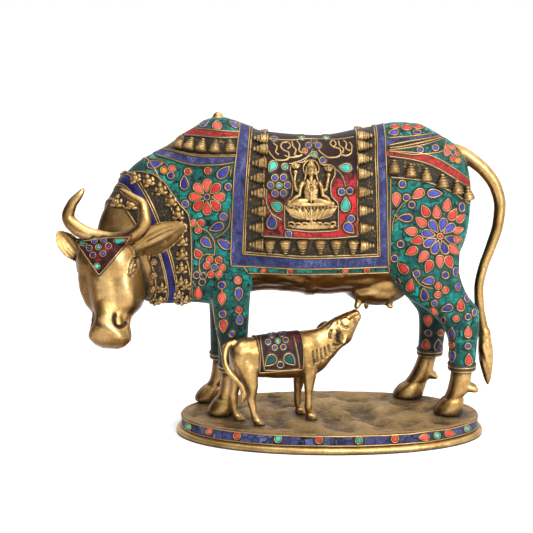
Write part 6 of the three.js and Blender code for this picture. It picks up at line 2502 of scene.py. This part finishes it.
def make_goddess():
    r = Relief()
    # Seat: leaf scrolls, rosette, two rows of petals, seed rim
    r.lump(312, 226.4, 0.2, 24, 3.2, 2.0, 0, 40, 10)
    for sign in (-1, 1):
        for k, (x, y, turn) in enumerate(((6, 224, 20), (13, 224.4, 8), (20, 223.4, 24))):
            r.stroke(
                beside(
                    sign,
                    [
                        (x - 4, y + 2, 1.2), (x, y - 1.6, 2.0), (x + 3.6, y - 1.4, 1.9),
                        (x + 3.8, y + 1.6, 1.3),
                    ],
                    312,
                ),
                [0.7, 1.1, 0.9, 0.4],
            )
            r.stroke(
                beside(sign, [(x - 2, y + 3.4, 1.0), (x + 2, y + 1.8, 1.8), (x + 5, y + 3, 1.2)], 312),
                [0.5, 0.8, 0.4],
            )
    for k in range(6):
        a = 60 * k + 90
        r.petal(
            312 + 2.2 * math.cos(math.radians(a)), 223.6 - 2.2 * math.sin(math.radians(a)), 4.2, 2.8, a,
            1.0, 1.9,
        )
    r.lump(312, 223.6, 2.3, 1.2, 1.2, 1.4)
    r.lump(311, 213, 0.5, 22.5, 7.5, 2.2, 0, 40, 12)
    for k in range(-4, 5):
        turn = 90 - 15.5 * k
        r.petal(311 + 5.0 * k, 213.6 - 0.16 * k * k, 13.6 - 0.25 * abs(k), 5.6, turn, 1.4, 3.0)
    for k in range(-5, 5):
        x = k + 0.5
        r.petal(311 + 4.9 * x, 211.4 - 0.2 * x * x, 10.5, 4.6, 90 - 17 * x, 0.6, 2.3)
    for k in range(-6, 7):
        r.petal(311 + 3.5 * k, 206.4 - 0.03 * k * k, 5.0, 2.6, 90 - 7 * k, 2.2, 2.0)
    r.lump(311, 205.2, 1.4, 22.4, 2.2, 2.4, 0, 40, 10)
    # Crossed legs under a pleated skirt
    for sign in (-1, 1):
        r.stroke(beside(sign, [(4, 200.6, 2.6), (12, 201.6, 4.0), (18.6, 202.8, 3.0)]), [3.2, 3.4, 2.6])
        r.stroke(beside(sign, [(17.4, 203.4, 3.2), (8, 204.4, 4.8), (-3, 204.6, 4.6)]), [2.4, 2.5, 1.8])
        for k in range(4):
            x = 5.4 + 3.4 * k
            r.stroke(
                beside(
                    sign,
                    [
                        (x, 199.6 + 0.5 * k, 5.2 - 0.2 * k), (x + 1.6, 202 + 0.4 * k, 6.2 - 0.3 * k),
                        (x + 1, 204.6, 5.6 - 0.3 * k),
                    ],
                ),
                [0.4, 0.5, 0.4],
            )
    # Torso, bodice, girdle
    r.lump(311, 190.4, 2.8, 7.8, 8.6, 3.8)
    r.lump(311, 197.4, 2.8, 6.6, 5.0, 3.6)
    r.lump(311, 184.6, 2.8, 9.0, 3.4, 3.0)
    for sign in (-1, 1):
        r.lump(311 + sign * 3.2, 187.6, 4.4, 2.9, 2.9, 2.9)
    r.stroke([(305, 196.4, 5.0), (311, 197.8, 6.4), (317, 196.4, 5.0)], 0.65)
    r.stroke([(305.4, 198.2, 5.0), (311, 199.8, 6.3), (316.6, 198.2, 5.0)], 0.5)
    # Long garland and necklaces
    r.stroke([(306.6, 181.4, 5.0), (308.4, 188, 7.0), (310.4, 196, 6.7), (311, 202.4, 7.0)], 0.55)
    r.stroke([(315.4, 181.4, 5.0), (313.6, 188, 7.0), (311.6, 196, 6.7), (311, 202.4, 7.0)], 0.55)
    r.stroke([(307.6, 180.4, 5.0), (311, 184.8, 6.3), (314.4, 180.4, 5.0)], 0.5)
    r.stroke([(306.8, 180.6, 5.0), (311, 187.2, 7.2), (315.2, 180.6, 5.0)], 0.45)
    for k in range(9):
        r.lump(311, 188.6 + 1.7 * k, 7.0, 0.8, 0.7, 0.8, 0, 10, 6)
    # Arms: two raised with lotus buds, two lowered and open
    for sign, bud in ((-1, (295.6, 168.6)), (1, (328.4, 171.4))):
        r.stroke(
            beside(sign, [(8.4, 184.6, 3.0), (13.2, 190.6, 3.0), (15, 188.8, 3.0)]), [2.2, 2.0, 1.9],
        )
        r.stroke(
            [(311 + sign * 15, 189.4, 3.0), (311 + sign * 16.6, 182, 3.4), (bud[0], bud[1] + 6.4, 3.4)],
            [1.9, 1.7, 1.5],
        )
        r.lump(bud[0], bud[1] + 4.6, 3.6, 2.3, 2.2, 2.2)
        for turn in (-46, -16, 16, 46):
            a = math.radians(90 + turn)
            r.petal(
                bud[0] + 3.0 * math.cos(a), bud[1] - 2.4 * math.sin(a) + 0.6, 6.4, 3.4, 90 + turn, 2.2,
                2.6,
            )
        r.lump(bud[0], bud[1] - 1.6, 3.4, 1.8, 3.2, 2.4)
        for share in (0.35, 0.8):
            u = 311 + sign * (15 + 1.6 * share)
            v = 189.4 - 7.4 * share
            r.stroke([(u - 2.0, v, 3.4), (u, v + 0.5, 5.2), (u + 2.0, v, 3.4)], 0.5)
    for sign, hand in ((-1, (289.4, 202)), (1, (332.4, 203.6))):
        elbow = (311 + sign * 11.6, 195.6, 4.2)
        r.stroke(beside(sign, [(8.6, 184.2, 3.8), (10.8, 189.8, 4.2)]) + [elbow], [2.5, 2.2, 2.0])
        r.stroke(
            [elbow, (311 + sign * 16.4, 198.2, 4.8), (hand[0] - sign * 2.4, hand[1] - 2.0, 4.4)],
            [2.0, 1.8, 1.4],
        )
        r.lump(hand[0], hand[1], 4.0, 2.3, 2.0, 1.4, sign * -30)
        for k in range(4):
            knuckle = (hand[0] + sign * (0.2 + 0.8 * k) - sign * 1.4, hand[1] + 0.6, 4.2)
            fingertip = (hand[0] + sign * (0.9 + 0.9 * k) - sign * 1.4, hand[1] + 4.0 - 0.3 * k, 3.4)
            r.stroke([knuckle, fingertip], [0.55, 0.4])
        for k in range(3):
            u, v = 311 + sign * (14.2 + 2.0 * k), 197 + 0.9 * k
            r.stroke(
                [(u - sign * 0.7, v - 1.9, 4.0), (u, v, 6.4 - 0.2 * k), (u + sign * 0.7, v + 1.9, 4.0)],
                0.4,
            )
        r.stroke(beside(sign, [(8.8, 188.6, 4.2), (10.6, 187.8, 6.6), (12.6, 187, 4.2)]), 0.5)
    # Head, hair, crown and the arch behind it
    arch = [(311 + 7.8 * math.sin(a), 169.6 - 8.2 * math.cos(a), 2.4) for a in np.linspace(-2.1, 2.1, 15)]
    r.stroke(arch, 1.0)
    r.stroke([(311 + 0.72 * (x - 311), 170 + 0.72 * (y - 170), 2.0) for x, y, _ in arch], 0.5)
    r.lump(311, 169.6, 0.4, 7.0, 7.6, 1.3)
    r.stroke([(311, 176, 3.0), (311, 181.4, 3.0)], [2.4, 2.8])
    r.lump(311, 172.4, 3.6, 4.0, 4.9, 3.9, 0, 28, 18)
    r.lump(311, 175.4, 4.8, 1.5, 1.3, 1.2)
    for sign in (-1, 1):
        r.stroke(
            beside(sign, [(4.0, 168.6, 3.4), (5.2, 173, 3.2), (5.8, 178.6, 3.0), (7.4, 182.6, 2.8)]),
            [1.2, 1.3, 1.1, 0.8],
        )
        r.lump(311 + sign * 3.9, 174.2, 4.2, 0.9, 1.5, 1.2)
        r.stroke(beside(sign, [(0.6, 170.7, 7.5), (1.8, 170.1, 7.3), (2.9, 170.8, 6.5)]), 0.22)
        r.lump(311 + sign * 1.7, 172.0, 7.0, 0.9, 0.45, 0.4, -sign * 4, 12, 8)
        r.lump(311 + sign * 1.8, 174.2, 6.2, 1.1, 1.1, 0.9)
    r.stroke([(311, 171.2, 7.6), (311, 173.4, 8.1)], [0.35, 0.6])
    r.stroke([(309.9, 175.0, 7.0), (311, 175.3, 7.3), (312.1, 175.0, 7.0)], 0.3)
    r.stroke([(310.2, 175.9, 6.8), (311, 176.05, 7.1), (311.8, 175.9, 6.8)], 0.28)
    r.stroke(
        [
            (307.4, 169.0, 4.8), (309, 168.2, 6.6), (311, 168, 7.1), (313, 168.2, 6.6),
            (314.6, 169.0, 4.8),
        ],
        0.6,
    )
    r.lump(311, 166.6, 3.8, 3.8, 2.4, 3.0)
    r.lump(311, 164.4, 3.6, 2.7, 1.9, 2.4)
    r.lump(311, 162.8, 3.4, 1.3, 1.3, 1.6)
    for k in range(-2, 3):
        r.lump(311 + 1.5 * k, 167 + 0.1 * k * k, 6.4 - 0.3 * abs(k), 0.6, 0.8, 0.6, 0, 10, 6)
    r.lump(311, 165.2, 6.0, 0.9, 1.0, 0.9, 0, 10, 8)
    # Small attendant bird by the seat
    r.lump(331.4, 226.4, 1.4, 3.2, 2.2, 2.2, 10)
    r.stroke([(333.4, 225.6, 2.2), (334.6, 222.6, 2.4), (333.4, 221.2, 2.2)], [1.1, 0.7, 0.6])
    return r.shape


def laid_on(name, shape, skin, far):
    """Bends a flat relief on to the flank."""
    flat = link(name, shape.mesh(name + "_flat", shift=0))
    add_remesh(flat, RELIEF_GRID)
    thin = flat.modifiers.new("thin", "DECIMATE")
    thin.ratio = RELIEF_SHARE
    mesh = baked(flat, name)
    co = coordinates(mesh)
    us, vs = np.arange(278, 348, 1.0), np.arange(146, 242, 1.0)
    grid = np.zeros((len(us), len(vs), 6))
    for i, u in enumerate(us):
        for j, v in enumerate(vs):
            point, normal = seen(skin, u, v)
            if far:
                point, normal = opposite(skin, point)
            grid[i, j] = (*point, *normal)
    u = np.clip(co[:, 0] / PIXEL + MIDDLE[0] - us[0], 0, len(us) - 1.001)
    v = np.clip(MIDDLE[1] - co[:, 2] / PIXEL - vs[0], 0, len(vs) - 1.001)
    i, j = u.astype(int), v.astype(int)
    a, b = (u - i)[:, None], (v - j)[:, None]
    at = grid[i, j] * (1 - a) * (1 - b) + grid[i + 1, j] * a * (1 - b)
    at = at + grid[i, j + 1] * (1 - a) * b + grid[i + 1, j + 1] * a * b
    high = -co[:, 1:2]
    set_coordinates(mesh, at[:, :3] + at[:, 3:] * high)
    if far:
        mesh.flip_normals()
    return finish_piece(name, mesh, CARVED)


goddess_shape = make_goddess()
laid_on("goddess_near", goddess_shape, GROUND_SKIN, False)
laid_on("goddess_far", goddess_shape, GROUND_SKIN, True)


# Stage: floor, sky, lights and camera
def make_floor():
    mesh = bpy.data.meshes.new("floor")
    bm = bmesh.new()
    rings = []
    turns = np.arange(48) * 2 * math.pi / 48
    for r in (0.01, 0.5, 1.2, 2.5, 5, 12, 30, 90):
        rings.append([bm.verts.new((r * math.cos(a), 1 + r * math.sin(a), 0)) for a in turns])
    for a, b in zip(rings, rings[1:]):
        for i in range(48):
            j = (i + 1) % 48
            bm.faces.new((a[i], b[i], b[j], a[j]))
    bm.faces.new(rings[0])
    bm.to_mesh(mesh)
    bm.free()
    obj = link("floor", mesh)
    n = Nodes("floor")
    grain = n.noise(3, 3, 0.5, n.coords())
    white = n.ramp(grain, [(0.3, (0.94, 0.94, 0.94)), (0.7, (0.96, 0.96, 0.96))])
    n.set(Base_Color=white, Roughness=n.span(grain, 0.3, 0.7, 0.85, 0.9))
    mesh.materials.append(n.material)
    return obj


floor = make_floor()
floor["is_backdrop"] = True

world = bpy.data.worlds.new("studio")
scene.world = world
world.use_nodes = True
sky = world.node_tree
facing = sky.nodes.new("ShaderNodeTexCoord").outputs["Generated"]
parts = sky.nodes.new("ShaderNodeSeparateXYZ")
sky.links.new(facing, parts.inputs[0])


def sky_span(value, low, high, new_low, new_high):
    node = sky.nodes.new("ShaderNodeMapRange")
    for k, number in enumerate((low, high, new_low, new_high)):
        node.inputs[k + 1].default_value = number
    sky.links.new(value, node.inputs[0])
    return node.outputs[0]


def sky_math(kind, a, b):
    node = sky.nodes.new("ShaderNodeMath")
    node.operation = kind
    sky.links.new(a, node.inputs[0])
    sky.links.new(b, node.inputs[1])
    return node.outputs[0]


left = sky_span(parts.outputs[0], -0.7, 0.15, 0.05, 1.1)
low_down = sky_span(parts.outputs[2], 0.0, 0.4, 0.5, 1.0)
high = sky_span(parts.outputs[2], 0.3, 0.65, 0.0, 0.85)
behind = sky_span(parts.outputs[1], 0.25, 0.8, 0.0, 1.0)
above = sky_span(parts.outputs[2], 0.1, 0.95, 1.0, 1.6)
around = sky_math("MAXIMUM", sky_math("MULTIPLY", left, low_down), sky_math("MAXIMUM", behind, high))
glow = sky_math("MULTIPLY", around, above)
sky.nodes["Background"].inputs[0].default_value = (1, 1, 1, 1)
sky.links.new(glow, sky.nodes["Background"].inputs[1])
scene.view_settings.view_transform = "Standard"


def area_light(name, place, target, size, power):
    data = bpy.data.lights.new(name, "AREA")
    data.energy = power
    data.shape = "RECTANGLE"
    data.size = size[0]
    data.size_y = size[1]
    obj = bpy.data.objects.new(name, data)
    scene.collection.objects.link(obj)
    obj.location = place
    obj.rotation_euler = (Vector(target) - Vector(place)).to_track_quat("-Z", "Y").to_euler()
    return obj


# Lights: place, what each points at, size and power in watts
LIGHTS = [
    ("key", (0.5, -1.7, 1.5), (-0.05, 0, 0.18), (0.8, 0.6), 24),
    ("fill", (1.1, -1.3, 0.75), (0, 0, 0.15), (0.5, 0.8), 13),
    ("top", (0.1, -0.1, 1.9), (0, 0, 0.15), (1.4, 0.7), 9),
]
for row in LIGHTS:
    area_light(*row)

FILM = 36
camera_data = bpy.data.cameras.new("view")
camera = bpy.data.objects.new("view", camera_data)
scene.collection.objects.link(camera)
camera_data.sensor_width = FILM
camera_data.lens = SPREAD / PIXELS * FILM
camera_data.clip_start = 0.05
camera_data.clip_end = 300
camera.location = Vector(EYE * MM)
camera.rotation_euler = (math.pi / 2 - LOOK_DOWN, 0, 0)
scene.camera = camera

low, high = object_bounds()
